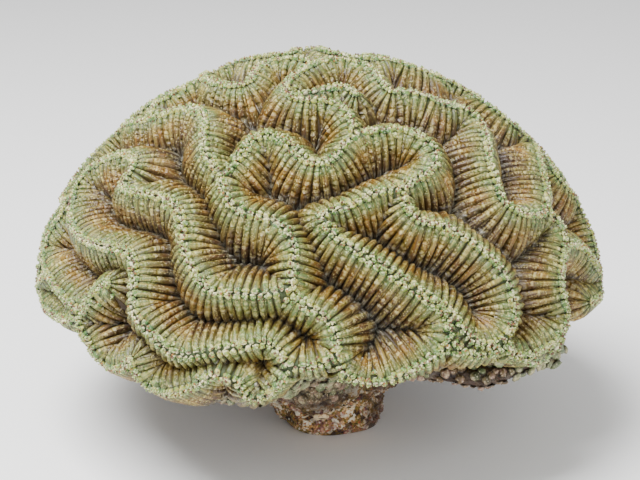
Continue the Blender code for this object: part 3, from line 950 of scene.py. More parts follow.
# %% Wide crests
WIDE_RAMP = 0.1
WIDE_CRESTS = {
    "slope": (0.35, 1.0, 0.00077), "slope_spur": (0.0, 0.7, 0.00063), "corner_left": (0.0, 0.6, 0.00042),
    "centre_wave": (0.0, 0.35, 0.00056), "left_lower": (0.25, 0.75, 0.00035),
    "front_notch": (0.0, 0.3, 0.00042), "arch_foot": (0.0, 1.0, 0.00042), "left_upper": (0.4, 0.7, 0.00035)}
crest_spread = []
for number, line in enumerate(crest_lines):
    name = list(FRONT_WALLS)[number] if number < len(FRONT_WALLS) else None
    start, end, spread = WIDE_CRESTS.get(name, (0, 1, 0))
    share = np.linspace(0, 1, len(line))
    ramp = np.clip(np.minimum(share - start + WIDE_RAMP, end - share + WIDE_RAMP) / WIDE_RAMP, 0, 1)
    crest_spread.append(spread * ramp)
crest_spread = np.concatenate(crest_spread)


def spread_at(points):
    """How far the knobs stand apart at the crest nearest to each point."""
    return np.array([crest_spread[crest_tree.find(Vector(point))[1]] for point in points])


print("rows moved out by at most mm", round(1000 * crest_spread.max(), 2))

# %% [markdown]
# Every rib gets a knob at its top. Spots that no rib reaches, at forks and in the widest crests, are looked
# for among the points of the skin and filled with knobs too, so that no bare skin shows on a crest.

# %% Where the knobs sit
KNOB_PLACE = 0.0009
KNOB_ROOMS = (0.0014, 0.0027)
SHORT_KNOB_ROOM = 0.0019
BARE_ROOMS = (0.0016, 0.0022)
MIDDLE_ROOMS = (0.0014, 0.0019)
MIDDLE_STEP = 0.0022
MIDDLE_LEAST = 0.0004
MIDDLE_STRAY = 0.0003
BARE_GAP = 0.00140
BARE_APART = 0.00165
BARE_REACH = 0.0048


def knob_spots(track, normals, ways, room):
    """Place, normal, direction and width of the knob at the top of each rib."""
    reach = KNOB_PLACE + spread_at(track[:, 0])
    spot = read_track(track, reach[:, None])[:, 0]
    normal = unit(read_track(normals, reach[:, None])[:, 0])
    way = unit(ways - (ways * normal).sum(1, keepdims=True) * normal)
    return spot, normal, way, np.clip(room, *KNOB_ROOMS)


main_room = neighbour_room(kept_track, np.full((len(kept_track), 1), KNOB_PLACE), kept_run)[:, 0]
short_room = np.full(len(short_track), SHORT_KNOB_ROOM)
spot_sets = [knob_spots(kept_track, kept_normals, rib_ways[long_enough], main_room),
             knob_spots(short_track, short_normals, short_ways, short_room)]
rib_sets = len(spot_sets)
covered = [track[2:int(length / WALK_STEP) + 1] for track, length in zip(kept_track, kept_length)]
covered += [track[1:stop + 1] for track, stop in zip(short_track, short_stop)]
covered += [track[first:stop + 1] for track, first, stop in zip(thin_track, thin_start, thin_stop)]
cover_tree = cloud_tree(np.concatenate(covered + [spot_set[0] for spot_set in spot_sets]))
middle_spots = []
start = 0
step = int(round(MIDDLE_STEP / CREST_STEP))
for line in crest_lines:
    spread = crest_spread[start:start + len(line)]
    middle_spots.append(line[::step][spread[::step] > MIDDLE_LEAST])
    start += len(line)
middle_spots = np.concatenate(middle_spots)
skin_faces = np.array([tuple(face.vertices) for face in skin_mesh.polygons])
candidates = np.concatenate([here, here[skin_faces].mean(1)])
candidate_polar = np.concatenate([polar, polar[skin_faces].mean(1)])
candidates = candidates[candidate_polar < RIM_POLAR]
candidate_away = crest_gap(candidates)
bare_spots = []
for point, reach in zip(candidates, candidate_away):
    if reach > BARE_REACH or cover_tree.find(Vector(point))[2] < BARE_GAP:
        continue
    if bare_spots and np.min(np.linalg.norm(np.array(bare_spots) - point, axis=1)) < BARE_APART:
        continue
    bare_spots.append(point)
print("bare spots filled", len(bare_spots))
if bare_spots:
    bare, bare_normals = settle(np.array(bare_spots), 1)
    anyway = unit(np.cross(bare_normals, rng.normal(0, 1, bare.shape)))
    spot_sets.append((bare, bare_normals, anyway, rng.uniform(*BARE_ROOMS, len(bare))))
middle, middle_normals = settle(middle_spots + rng.normal(0, MIDDLE_STRAY, middle_spots.shape), 1)
anyway = unit(np.cross(middle_normals, rng.normal(0, 1, middle.shape)))
spot_sets.append((middle, middle_normals, anyway, rng.uniform(*MIDDLE_ROOMS, len(middle))))
on_rib = [np.full(len(spot_set[0]), number < rib_sets) for number, spot_set in enumerate(spot_sets)]
spot_on_rib = np.concatenate(on_rib)
spots, spot_normals, spot_ways, spot_rooms = [np.concatenate(parts) for parts in zip(*spot_sets)]
print("knobs on ribs", int(spot_on_rib.sum()), "and between them", int((~spot_on_rib).sum()))

# %% [markdown]
# Each knob is as wide as the room at its spot and lumpy in its own way, and it sinks with the skin where
# its spot lies off the crest. All of them are one mesh.

# %% Knobs along the crests
KNOB_LONG = 0.00102
KNOB_HIGH = 0.00125
KNOB_FILL = 0.47
KNOB_FULL_ROOM = 0.0024
KNOB_PROUD = 0.0003
KNOB_LUMPS = 0.15
LUMP_RANGE = (0.65, 1.5)
WIDE_RANGE = (0.9, 1.1)
LONG_RANGE = (0.85, 1.2)
HIGH_RANGE = (0.80, 1.2)
ROOM_RANGE = (0.7, 1.1)
NO_SIDE = 0.1
spot_away = crest_gap(spots)
spot_sink = sink_at(spot_away, np.maximum(half_width_at(spots), spot_away), angle_of(spots))
spots = spots - spot_normals * spot_sink[:, None]
spot_across = unit(np.cross(spot_normals, spot_ways))
spot_count = len(spots)
lump = 1 + KNOB_LUMPS * rng.standard_normal((spot_count, len(knob_points)))
lump = np.clip(lump, *LUMP_RANGE)
knob_wide = (spot_rooms * KNOB_FILL * rng.uniform(*WIDE_RANGE, spot_count))[:, None, None]
knob_long = KNOB_LONG * rng.uniform(*LONG_RANGE, (spot_count, 1, 1))
knob_high = KNOB_HIGH * rng.uniform(*HIGH_RANGE, (spot_count, 1, 1))
knob_high = knob_high * np.clip(spot_rooms / KNOB_FULL_ROOM, *ROOM_RANGE)[:, None, None]
formed = knob_points[None] * lump[..., None]
knobs_at = spots[:, None] + spot_across[:, None] * formed[..., :1] * knob_wide
knobs_at = knobs_at + spot_ways[:, None] * formed[..., 1:2] * knob_long
knobs_at = knobs_at + spot_normals[:, None] * (formed[..., 2:] * knob_high + KNOB_PROUD)
knob_mesh = copies_mesh("crest_knobs", knobs_at, knob_faces)
knob_tip = np.tile(knob_points[:, 2], spot_count)
knob_own = np.repeat(rng.random(spot_count), len(knob_points))
knob_outer = np.where(spot_on_rib[:, None], knob_points[None, :, 1], NO_SIDE).ravel()
keep_values(knob_mesh, tip=knob_tip, lump=(lump.ravel() - 1) / KNOB_LUMPS, own=knob_own, outer=knob_outer)
crest_knobs = new_piece("crest_knobs", knob_mesh)
print("knobs", spot_count, "faces", len(knob_mesh.polygons))

# %% [markdown]
# The knobs are rough with small pale teeth, which give the crest its jagged edge. A tooth is a short cone
# with five sides and a drawn-in top, shaped once and copied three times onto every knob.

# %% Shape of a tooth
TOOTH_SIDES = 5
TOOTH_TOP = 0.60
TOOTH_POINT = 0.18
bpy.ops.object.select_all(action="DESELECT")
bpy.ops.mesh.primitive_cone_add(vertices=TOOTH_SIDES, radius1=1, radius2=TOOTH_TOP, depth=1,
                                end_fill_type="NOTHING")
tooth = bpy.context.object
bm = bmesh.new()
bm.from_mesh(tooth.data)
rim_edges = [edge for edge in bm.edges if edge.is_boundary and min(v.co.z for v in edge.verts) > 0.4]
top = bmesh.ops.contextual_create(bm, geom=rim_edges)["faces"]
poke = bmesh.ops.poke(bm, faces=top)["verts"]
for vertex in poke:
    vertex.co.z += TOOTH_POINT
bmesh.ops.triangulate(bm, faces=bm.faces)
tooth_points, tooth_faces = points_and_faces(bm)
tooth_points = tooth_points + [0, 0, 0.5]
bpy.data.objects.remove(tooth)
print("tooth faces", len(tooth_faces))

# %% [markdown]
# The teeth stand round each knob, out to near its edge and a little towards the middle of the crest. They
# lean as the knob's surface does, with some disorder.

# %% Teeth on the knobs
TEETH_EACH = 3
TOOTH_RADIUS = 0.00039
TOOTH_HEIGHT = 0.00062
TOOTH_SINK = 0.35
TOOTH_REACH = (0.15, 0.72)
TOWARDS_CREST = 0.22
TOOTH_SEAT = 0.92
LEAN_STRAY = 0.15
TURN_STRAY = 0.8
TOOTH_WIDE_RANGE = (0.7, 1.25)
TOOTH_TALL_RANGE = (0.7, 1.2)
owner = np.repeat(np.arange(spot_count), TEETH_EACH)
count = len(owner)
turn = np.tile(np.arange(TEETH_EACH), spot_count) + rng.random(count) * TURN_STRAY
turn = turn * 2 * math.pi / TEETH_EACH
out_share = rng.uniform(*TOOTH_REACH, count)
flat_a = np.cos(turn) * out_share
flat_b = np.sin(turn) * out_share - np.where(spot_on_rib[owner], TOWARDS_CREST, 0)
flat_up = np.sqrt(1 - flat_a ** 2 - flat_b ** 2)
tooth_at = spots[owner] + spot_across[owner] * (flat_a * knob_wide[owner, 0, 0])[:, None]
tooth_at = tooth_at + spot_ways[owner] * (flat_b * knob_long[owner, 0, 0])[:, None]
tooth_up = flat_up * knob_high[owner, 0, 0] * TOOTH_SEAT + KNOB_PROUD
tooth_at = tooth_at + spot_normals[owner] * tooth_up[:, None]
lean = spot_across[owner] * flat_a[:, None] + spot_ways[owner] * flat_b[:, None]
lean = lean + spot_normals[owner] * flat_up[:, None]
lean = unit(lean + rng.normal(0, LEAN_STRAY, (count, 3)))
first_axis = unit(np.cross(lean, rng.normal(0, 1, (count, 3))))
second_axis = np.cross(lean, first_axis)
wide = TOOTH_RADIUS * rng.uniform(*TOOTH_WIDE_RANGE, (count, 1, 1))
tall = TOOTH_HEIGHT * rng.uniform(*TOOTH_TALL_RANGE, (count, 1, 1))
local = tooth_points[None]
teeth = tooth_at[:, None] + first_axis[:, None] * local[..., :1] * wide
teeth = teeth + second_axis[:, None] * local[..., 1:2] * wide
teeth = teeth + lean[:, None] * (local[..., 2:] - TOOTH_SINK) * tall
teeth_mesh = copies_mesh("crest_teeth", teeth, tooth_faces)
tooth_own = np.repeat(rng.random(count), len(tooth_points))
tooth_outer = np.repeat(np.where(spot_on_rib[owner], flat_b, NO_SIDE), len(tooth_points))
keep_values(teeth_mesh, tip=np.tile(tooth_points[:, 2], count), own=tooth_own, outer=tooth_outer)
crest_teeth = new_piece("crest_teeth", teeth_mesh)
print("teeth", count, "faces", len(teeth_mesh.polygons))

# %% [markdown]
# Under the rim the coral is dead and overgrown, and it narrows to a short stub that was cut flat. Its form
# is a stack of rings, as in the solid, each a radius and a height all round, from the seat under the head
# down to the cut. The front, the left side, a notch and the right-hand tier each change some of them.

# %% Outline of the base
SEAT_GAP = 0.0004
FOOT_HALF_X = 0.017
FOOT_HALF_Y = 0.024
BASE_COLUMNS = 480
BASE_ROWS = 150
FRONT_AZIMUTH = 268
SMOOTH_ROUNDS = 12
INNER_Z = 0.05
base_turn = np.linspace(0, 2 * math.pi, BASE_COLUMNS, endpoint=False)
base_azimuth = np.degrees(base_turn)
base_plan = around(HEAD_RADIUS, base_azimuth)
base_rim = WIDEST_Z - around(RIM_DROP, base_azimuth)


def swell(azimuth, width, power=2):
    """One at this azimuth, fading to nothing on both sides of it."""
    return np.exp(-((base_azimuth - azimuth) / width) ** power)


def stretch(*azimuths):
    """Rises from nothing to one, stays, and falls to nothing again, at four azimuths."""
    return np.interp(base_azimuth, azimuths, [0, 1, 1, 0])


front = swell(FRONT_AZIMUTH, 13)
foot = 1 / np.hypot(np.cos(base_turn) / FOOT_HALF_X, np.sin(base_turn) / FOOT_HALF_Y)
level = np.ones(BASE_COLUMNS)
lean = np.cos(base_turn)
left = np.clip(-lean, 0, 1)
notch = stretch(272, 284, 304, 330)
tier = stretch(294, 304, 336, 350)
corner = 0.0035 * swell(322, 24)
lip = 0.0030 * swell(251, 10)
base_rings = np.array([
    (base_plan * 0.765, level * (SEAT_Z - SEAT_GAP)),
    (base_plan * (0.76 + 0.14 * tier), base_rim + 0.0015 * tier + lip),
    (base_plan * (0.745 + 0.165 * tier), base_rim - 0.0030 + 0.0008 * tier + lip),
    (base_plan * (0.66 + 0.16 * tier), base_rim * 0.50 + 0.0135 + 0.0025 * tier + 0.0045 * notch + lip),
    (base_plan * 0.55, 0.0255 + 0.010 * front + 0.0080 * notch),
    (base_plan * (0.42 + 0.10 * front), 0.0215 + 0.009 * front + 0.0070 * notch),
    (foot + 0.0115 + 0.003 * left + 0.012 * front, 0.0175 + 0.005 * front),
    (foot + 0.0045 + 0.0008 * lean + 0.0055 * left + 0.008 * front, 0.0125 + 0.002 * front),
    (foot + 0.0016 + 0.0024 * lean + 0.0040 * left + corner, level * 0.0075),
    (foot + 0.0004 + 0.0034 * lean + 0.0012 * left + corner, level * 0.0030),
    (foot * 0.95 + 0.0034 * lean + corner, level * 0)])
ring_marks = np.linspace(0, len(base_rings) - 1, BASE_ROWS)
ring_index = np.minimum(ring_marks.astype(int), len(base_rings) - 2)
ring_part = (ring_marks - ring_index)[:, None, None]
profile = base_rings[ring_index] * (1 - ring_part) + base_rings[ring_index + 1] * ring_part
for _ in range(SMOOTH_ROUNDS):
    profile[1:-1] = (profile[:-2] + 2 * profile[1:-1] + profile[2:]) / 4
base_radius, base_height = profile[:, 0], profile[:, 1]
base_points = np.stack([base_radius * np.cos(base_turn), base_radius * np.sin(base_turn), base_height], -1)
down_step = np.gradient(base_points, axis=0)
round_step = np.roll(base_points, -1, 1) - np.roll(base_points, 1, 1)
base_out = unit(np.cross(down_step, round_step))
base_out *= np.sign((base_out * base_points).sum(-1, keepdims=True) - INNER_Z * base_out[..., 2:])
print("base rings", len(base_rings), "drawn as", BASE_ROWS, "rows of", BASE_COLUMNS, "points")

# %% [markdown]
# Lumps, pits and scale are raised on the rings by noise of several sizes, as brushes of several sizes would
# do it by hand. They fade out at the seat and at the flat cut, where the base has to stay plane.

# %% Lumps and pits of the base
LUMP = 0.0020
LUMPS_PER_METRE = 110
KNOBS_PER_METRE = 170
SMALL_PER_METRE = 430
GRIT_PER_METRE = 800
GROW_PLACES = [0, 0.08, 0.2, 0.93, 1.0]
GROW_SHARES = [0, 0.1, 1, 1, 0]


def rock_height(point):
    """Lumps, knobs, pits and grit at one point of the base."""
    lumps = noise.fractal(point * LUMPS_PER_METRE, 1.0, 2.1, 4)
    cells = noise.voronoi(point * KNOBS_PER_METRE)[0]
    knobs = 0.55 - cells[0] * 1.3
    small = 0.5 - noise.voronoi(point * SMALL_PER_METRE)[0][0] * 1.2
    grit = noise.turbulence(point * GRIT_PER_METRE, 3, False)
    return LUMP * (0.8 * lumps + 0.7 * knobs + 0.42 * small + 0.40 * grit)


grow = np.interp(np.arange(BASE_ROWS) / (BASE_ROWS - 1), GROW_PLACES, GROW_SHARES)
lift = np.array([[rock_height(Vector(q)) for q in row] for row in base_points])
base_points = base_points + base_out * (lift * grow[:, None])[..., None]
base_points[:, :, 2] = np.maximum(base_points[:, :, 2], 0)
base_points[0, :, 2] = SEAT_Z - SEAT_GAP
base_points[-1, :, 2] = 0
bm = bmesh.new()
loops = [[bm.verts.new(q) for q in row] for row in base_points]
for upper, lower in zip(loops, loops[1:]):
    for i in range(BASE_COLUMNS):
        k = (i + 1) % BASE_COLUMNS
        bm.faces.new((upper[i], lower[i], lower[k], upper[k]))
bm.faces.new(loops[0])
bm.faces.new(list(reversed(loops[-1])))
bmesh.ops.recalc_face_normals(bm, faces=bm.faces)
base_mesh = bpy.data.meshes.new("rock")
bm.to_mesh(base_mesh)
bm.free()
print("lumps of the base in mm, lowest and highest", np.percentile(lift * 1000, [0, 100]).round(1))

# %% [markdown]
# The crust's colours need to know where they are: how high a lump stands, how far out, how far to the side,
# and whether it is near the front or in the folds at the right, where the living edge comes down.

# %% Values for the crust
FRONT_HALF_WIDTH = 0.026
FRONT_LOWEST = 0.020
FRONT_FADE = 0.008
FOLD_CRUST_ROWS = 62
near_front = np.exp(-(base_points[:, :, 0] / FRONT_HALF_WIDTH) ** 4)
near_front = near_front * np.clip((base_points[:, :, 2] - FRONT_LOWEST) / FRONT_FADE, 0, 1)
near_front = near_front * (base_points[:, :, 1] < 0)
folds = stretch(310, 322, 344, 352) * (np.arange(BASE_ROWS) < FOLD_CRUST_ROWS)[:, None]
near_front = np.maximum(near_front, folds)
base_reach = np.hypot(base_points[:, :, 0], base_points[:, :, 1]).ravel() * 1000
base_side = np.abs(base_points[:, :, 0]).ravel() * 1000
keep_values(base_mesh, lift=lift.ravel() / LUMP, reach=base_reach, near=near_front.ravel(), aside=base_side)
smooth_all(base_mesh)
rock = new_piece("rock", base_mesh, "encrusted_base")
print("rock faces", len(base_mesh.polygons))

# %% [markdown]
# On the front of the stub sits a small cream ring with a dark middle, the tube of some animal that lived
# there. A torus with a few knocks in it is enough, with a disc set inside that is coloured dark as painted
# shade for the hole.

# %% Cream ring on the stub
RING_RADIUS = 0.00185
RING_TUBE = 0.00078
RING_PLACE = np.array([0.001, -0.029, 0.0120])
RING_PROUD = 0.0012
RING_SEGMENTS = 28
RING_KNOCK = 0.00028
KNOCKS_PER_METRE = 900
ring_far = np.linalg.norm(base_points - RING_PLACE, axis=2)
ring_row, ring_column = np.unravel_index(np.argmin(ring_far), ring_far.shape)
ring_out = Vector(base_out[ring_row, ring_column])
ring_at = Vector(base_points[ring_row, ring_column] + base_out[ring_row, ring_column] * RING_PROUD)
ring_turn = ring_out.to_track_quat("Z", "Y")
bpy.ops.object.select_all(action="DESELECT")
bpy.ops.mesh.primitive_torus_add(major_radius=RING_RADIUS, minor_radius=RING_TUBE,
                                 major_segments=RING_SEGMENTS, minor_segments=10)
ring = bpy.context.object
bm = bmesh.new()
bm.from_mesh(ring.data)
bpy.data.objects.remove(ring)
bmesh.ops.create_circle(bm, cap_ends=True, segments=RING_SEGMENTS, radius=RING_RADIUS)
for vertex in bm.verts:
    knock = noise.noise(Vector(vertex.co) * KNOCKS_PER_METRE) * RING_KNOCK
    vertex.co = ring_at + ring_turn @ (vertex.co * (1 + knock / RING_RADIUS))
ring_mesh = bpy.data.meshes.new("tube_ring")
bm.to_mesh(ring_mesh)
bm.free()
smooth_all(ring_mesh)
ring_back = ring_turn.inverted()
rim = np.array([(ring_back @ (v.co - ring_at)).xy.length / RING_RADIUS for v in ring_mesh.vertices])
keep_values(ring_mesh, rim=rim)
tube_ring = new_piece("tube_ring", ring_mesh)
print("ring faces", len(ring_mesh.polygons))

# %% [markdown]
# Below the lowest crests the living edge ends in rows of rounded knobs that fade from mint to dead brown.
# Their spots are picked at random from the upper rows of the base and from the bare skin under the lowest
# crests, and a spot that is too near to one already picked is left out, so that they stay single knobs.

# %% Where the edge knobs sit
EDGE_ROWS = (10, 42)
FRONT_ROWS = 88
FOLD_ROWS = 60
EDGE_APART = 0.0025
LIP_APART = 0.9
LIP_POLAR = (101, 132)
LIP_GAP = 0.0028
LIP_BARE = 0.0019
FADE_FIRST = 0.15
FRONT_LIVELY = 0.72
FOLD_LIVELY = 0.80
front_window = swell(FRONT_AZIMUTH, 20, 4)
fold_window = stretch(307, 319, 345, 352)
edge_last = EDGE_ROWS[1] + (FRONT_ROWS - EDGE_ROWS[1]) * front_window
edge_last = edge_last + (FOLD_ROWS - EDGE_ROWS[1]) * fold_window
edge_marks = np.array([(row, column) for column in range(BASE_COLUMNS)
                       for row in range(EDGE_ROWS[0], int(edge_last[column]))])


def spread_out(points, apart):
    """Picks from a cloud of points that keep at least this far from each other."""
    picks, cells = [], {}
    for pick in rng.permutation(len(points)):
        point = points[pick]
        x, y, z = np.floor(point / apart).astype(int)
        near = [other for dx in (-1, 0, 1) for dy in (-1, 0, 1) for dz in (-1, 0, 1)
                for other in cells.get((x + dx, y + dy, z + dz), [])]
        if all(math.dist(point, other) >= apart for other in near):
            cells.setdefault((x, y, z), []).append(point)
            picks.append(pick)
    return np.array(picks)


edge_marks = edge_marks[spread_out(base_points[edge_marks[:, 0], edge_marks[:, 1]], EDGE_APART)]
edge_row, edge_column = edge_marks.T
front_share = front_window[edge_column]
fold_share = fold_window[edge_column]
edge_fade = (edge_row - EDGE_ROWS[0]) / (edge_last[edge_column] - EDGE_ROWS[0])
edge_fade = FADE_FIRST + (1 - FADE_FIRST) * edge_fade
edge_fade = edge_fade * (1 - FRONT_LIVELY * front_share) * (1 - FOLD_LIVELY * fold_share)

lip_marks = np.flatnonzero((polar > LIP_POLAR[0]) & (polar < LIP_POLAR[1]) & (away > LIP_GAP))
lip_far = np.array([cover_tree.find(Vector(point))[2] for point in here[lip_marks]])
lip_marks = lip_marks[(lip_far > LIP_BARE) | (polar[lip_marks] > RIM_POLAR)]
lip_marks = lip_marks[spread_out(shape[lip_marks], EDGE_APART * LIP_APART)]
lip_out = np.array([skin_mesh.vertices[mark].normal[:] for mark in lip_marks])
lip_fade = np.interp(polar[lip_marks], LIP_POLAR, [0.0, 0.2])
print("edge knobs on the base", len(edge_marks), "and on the lip", len(lip_marks))

# %% [markdown]
# The edge knobs are copies of the crest knob, but rounder. They shrink a little as they fade to brown, and
# they are a little bigger in the folds at the right.

# %% Knobs of the dying edge
EDGE_SIZE = 0.00162
EDGE_HEIGHT = 0.80
EDGE_PROUD = 0.0001
EDGE_LUMPS = 0.16
EDGE_SHRINK = 0.25
FOLD_GROW = 0.16
EDGE_SIZE_RANGE = (0.75, 1.2)
EDGE_LUMP_RANGE = (0.7, 1.4)
edge_at = np.concatenate([base_points[edge_row, edge_column], shape[lip_marks]])
edge_out = np.concatenate([base_out[edge_row, edge_column], lip_out])
edge_fade = np.concatenate([edge_fade, lip_fade])
fold_share = np.concatenate([fold_share, np.zeros(len(lip_marks))])
edge_count = len(edge_at)
edge_across = unit(np.cross(edge_out, rng.normal(0, 1, edge_at.shape)))
edge_along = np.cross(edge_out, edge_across)
edge_size = EDGE_SIZE * rng.uniform(*EDGE_SIZE_RANGE, (edge_count, 1, 1))
edge_size = edge_size * (1 - EDGE_SHRINK * edge_fade + FOLD_GROW * fold_share)[:, None, None]
edge_lump = 1 + EDGE_LUMPS * rng.standard_normal((edge_count, len(knob_points)))
edge_lump = np.clip(edge_lump, *EDGE_LUMP_RANGE)
formed = knob_points[None] * edge_lump[..., None] * edge_size
edge_knobs_at = edge_at[:, None] + edge_across[:, None] * formed[..., :1]
edge_knobs_at = edge_knobs_at + edge_along[:, None] * formed[..., 1:2]
edge_knobs_at = edge_knobs_at + edge_out[:, None] * (formed[..., 2:] * EDGE_HEIGHT + EDGE_PROUD)
edge_mesh = copies_mesh("edge_knobs", edge_knobs_at, knob_faces)
edge_own = np.repeat(rng.random(edge_count), len(knob_points))
edge_tip = np.tile(knob_points[:, 2], edge_count)
keep_values(edge_mesh, tip=edge_tip, fade=np.repeat(edge_fade, len(knob_points)), own=edge_own)
edge_knobs = new_piece("edge_knobs", edge_mesh)
print("edge knobs", edge_count, "faces", len(edge_mesh.polygons))

# %% [markdown]
# Every material is built from nodes, so a few short functions place the nodes that all of them need: one
# that starts a material, one that reads a value kept at the points of a mesh, and others for sums and noise.

# %% Functions for values and noise
def material_of(name, rough):
    """A new material with its node tree and its shader."""
    material = bpy.data.materials.new(name)
    material.use_nodes = True
    shader = material.node_tree.nodes["Principled BSDF"]
    shader.inputs["Roughness"].default_value = rough
    return material, material.node_tree, shader


def value_of(tree, name):
    """A value that the mesh keeps at its points."""
    node = tree.nodes.new("ShaderNodeAttribute")
    node.attribute_name = name
    return node.outputs["Fac"]


def place_of(tree):
    """The place on the object, in metres."""
    return tree.nodes.new("ShaderNodeTexCoord").outputs["Object"]


def maths_of(tree, operation, first, second, third=None):
    """A sum or product of sockets and numbers."""
    node = tree.nodes.new("ShaderNodeMath")
    node.operation = operation
    for socket, value in zip(node.inputs, (first, second, third)):
        if isinstance(value, (int, float)):
            socket.default_value = value
        elif value is not None:
            tree.links.new(value, socket)
    return node.outputs[0]


def times(tree, first, second):
    """A product of two sockets or numbers."""
    return maths_of(tree, "MULTIPLY", first, second)


def noise_of(tree, scale, detail=2.0, rough=0.5):
    """Soft noise over the object."""
    node = tree.nodes.new("ShaderNodeTexNoise")
    node.inputs["Scale"].default_value = scale
    node.inputs["Detail"].default_value = detail
    node.inputs["Roughness"].default_value = rough
    tree.links.new(place_of(tree), node.inputs["Vector"])
    return node.outputs[0]


def cells_of(tree, scale, output="Distance"):
    """Round cells scattered over the object: the distance to the nearest, or a colour for each."""
    node = tree.nodes.new("ShaderNodeTexVoronoi")
    node.inputs["Scale"].default_value = scale
    tree.links.new(place_of(tree), node.inputs["Vector"])
    return node.outputs[output]


def joined_of(tree, across, along, seed):
    """A place on a rib, from the distances across and along it and a number for the rib."""
    joined = tree.nodes.new("ShaderNodeCombineXYZ")
    for socket, source in zip(joined.inputs, (across, along, seed)):
        tree.links.new(source, socket)
    return joined.outputs[0]


def streaks_of(tree, across, along, seed):
    """Noise drawn out along a rib, different on every rib."""
    node = tree.nodes.new("ShaderNodeTexNoise")
    node.inputs["Scale"].default_value = 1.0
    tree.links.new(joined_of(tree, across, along, seed), node.inputs["Vector"])
    return node.outputs[0]


def grains_of(tree, across, along, seed, size):
    """Distance to the nearest of a scatter of grains that lie along a rib."""
    node = tree.nodes.new("ShaderNodeTexVoronoi")
    node.inputs["Scale"].default_value = 1 / size
    tree.links.new(joined_of(tree, across, along, seed), node.inputs["Vector"])
    return node.outputs["Distance"]


# %% [markdown]
# The other functions turn a value into a colour: a ramp of colours, a soft mask between two limits, and a
# mix of two colours by such a mask. Colours are given as they are read on the screen, in steps of 255.

# %% Functions for colours
def ramp_of(tree, source, stops):
    """Colours in a row, read by the place of the source on it."""
    node = tree.nodes.new("ShaderNodeValToRGB")
    while len(node.color_ramp.elements) < len(stops):
        node.color_ramp.elements.new(0.5)
    for element, (place, colour) in zip(node.color_ramp.elements, stops):
        element.position = place
        element.color = (*colour, 1)
    tree.links.new(source, node.inputs[0])
    return node.outputs[0]


def mask_of(tree, source, low, high, start=0.0, end=1.0):
    """A soft change from start to end while the source goes from low to high."""
    node = tree.nodes.new("ShaderNodeMapRange")
    node.interpolation_type = "SMOOTHSTEP"
    node.inputs["From Min"].default_value = low
    node.inputs["From Max"].default_value = high
    node.inputs["To Min"].default_value = start
    node.inputs["To Max"].default_value = end
    tree.links.new(source, node.inputs["Value"])
    return node.outputs[0]


def mix_of(tree, share, first, second):
    """The first colour, with this share of the second."""
    node = tree.nodes.new("ShaderNodeMix")
    node.data_type = "RGBA"
    for socket, value in ((node.inputs[0], share), (node.inputs[6], first), (node.inputs[7], second)):
        if isinstance(value, (int, float)):
            socket.default_value = value
        elif isinstance(value, tuple):
            socket.default_value = (*value, 1)
        else:
            tree.links.new(value, socket)
    return node.outputs[2]


def bump_of(tree, height, strength, distance):
    """Fine relief that only the light shows."""
    node = tree.nodes.new("ShaderNodeBump")
    node.inputs["Strength"].default_value = strength
    node.inputs["Distance"].default_value = distance
    tree.links.new(height, node.inputs["Height"])
    return node.outputs[0]


def srgb(red, green, blue):
    """A colour as it is read on the screen, turned to the linear one that shaders take."""
    return tuple(c / 12.92 if c <= 0.04045 else ((c + 0.055) / 1.055) ** 2.4
                 for c in (red / 255, green / 255, blue / 255))


# %% [markdown]
# The colours of the ribs follow the flank of a wall: moss green below the crest, then ochre and rust, and
# purple brown towards the valley floor, deepened there by painted shade. Painted shade also darkens the
# grooves between the ribs and the gaps between the beads, and a painted highlight lightens the top of each
# bead. Slow changes over the head shift that row of colours up and down, and streaks, beads and a fine
# speckle of pale grains run along each rib. An image could do it too, but values kept on the ribs make the
# colours follow every bend by themselves.

# %% Living tissue on the ribs
rib_material, tree, shader = material_of("living_ribs", 0.34)
crest = value_of(tree, "crest")
down = value_of(tree, "down")
edge = value_of(tree, "edge")
side = value_of(tree, "side")
own = value_of(tree, "own")
seed = times(tree, own, 90.0)
slow = noise_of(tree, 32, 2)
patchy = noise_of(tree, 170, 3, 0.6)
drift = maths_of(tree, "MULTIPLY_ADD", slow, 6.0, -3.0)
drift = maths_of(tree, "ADD", drift, maths_of(tree, "MULTIPLY_ADD", patchy, 4.0, -2.0))
drift = maths_of(tree, "ADD", drift, maths_of(tree, "MULTIPLY_ADD", own, 2.4, -1.2))
keep_crest = mask_of(tree, crest, 1.2, 4.5)
along = maths_of(tree, "MULTIPLY_ADD", drift, keep_crest, crest)
flank = ramp_of(tree, maths_of(tree, "DIVIDE", along, 13.0), [
    (0.00, srgb(150, 162, 108)), (0.12, srgb(112, 132, 74)), (0.24, srgb(104, 112, 50)),
    (0.38, srgb(104, 90, 34)), (0.54, srgb(95, 63, 22)), (0.72, srgb(68, 42, 22)),
    (0.88, srgb(58, 40, 32)), (1.00, srgb(64, 54, 50))])
amber = times(tree, mask_of(tree, noise_of(tree, 62, 2), 0.42, 0.60), mask_of(tree, crest, 2.5, 5.5))
flank = mix_of(tree, times(tree, amber, 0.62), flank, srgb(150, 104, 16))
olive = mask_of(tree, streaks_of(tree, times(tree, side, 0.3), times(tree, crest, 0.25),
                                 times(tree, own, 130.0)), 0.50, 0.66)
flank = mix_of(tree, times(tree, olive, 0.45), flank, srgb(82, 100, 36))
mint = times(tree, mask_of(tree, patchy, 0.46, 0.62), mask_of(tree, crest, 6.0, 1.6))
flank = mix_of(tree, times(tree, mint, 0.8), flank, srgb(92, 132, 72))
strand = streaks_of(tree, times(tree, side, 1.9), times(tree, crest, 0.22), seed)
flank = mix_of(tree, mask_of(tree, strand, 0.50, 0.64, 0.0, 0.55), flank, srgb(184, 164, 84))
flank = mix_of(tree, mask_of(tree, strand, 0.49, 0.36, 0.0, 0.60), flank, srgb(50, 36, 14))
# Purple brown towards the valley floor: partly the tissue's own colour, partly painted shade in the valley.
deep_tint_and_shade = mask_of(tree, down, 0.44, 0.97, 0.0, 0.88)
flank = mix_of(tree, deep_tint_and_shade, flank, srgb(44, 33, 32))
thread = streaks_of(tree, times(tree, side, 4.2), times(tree, crest, 0.35), seed)
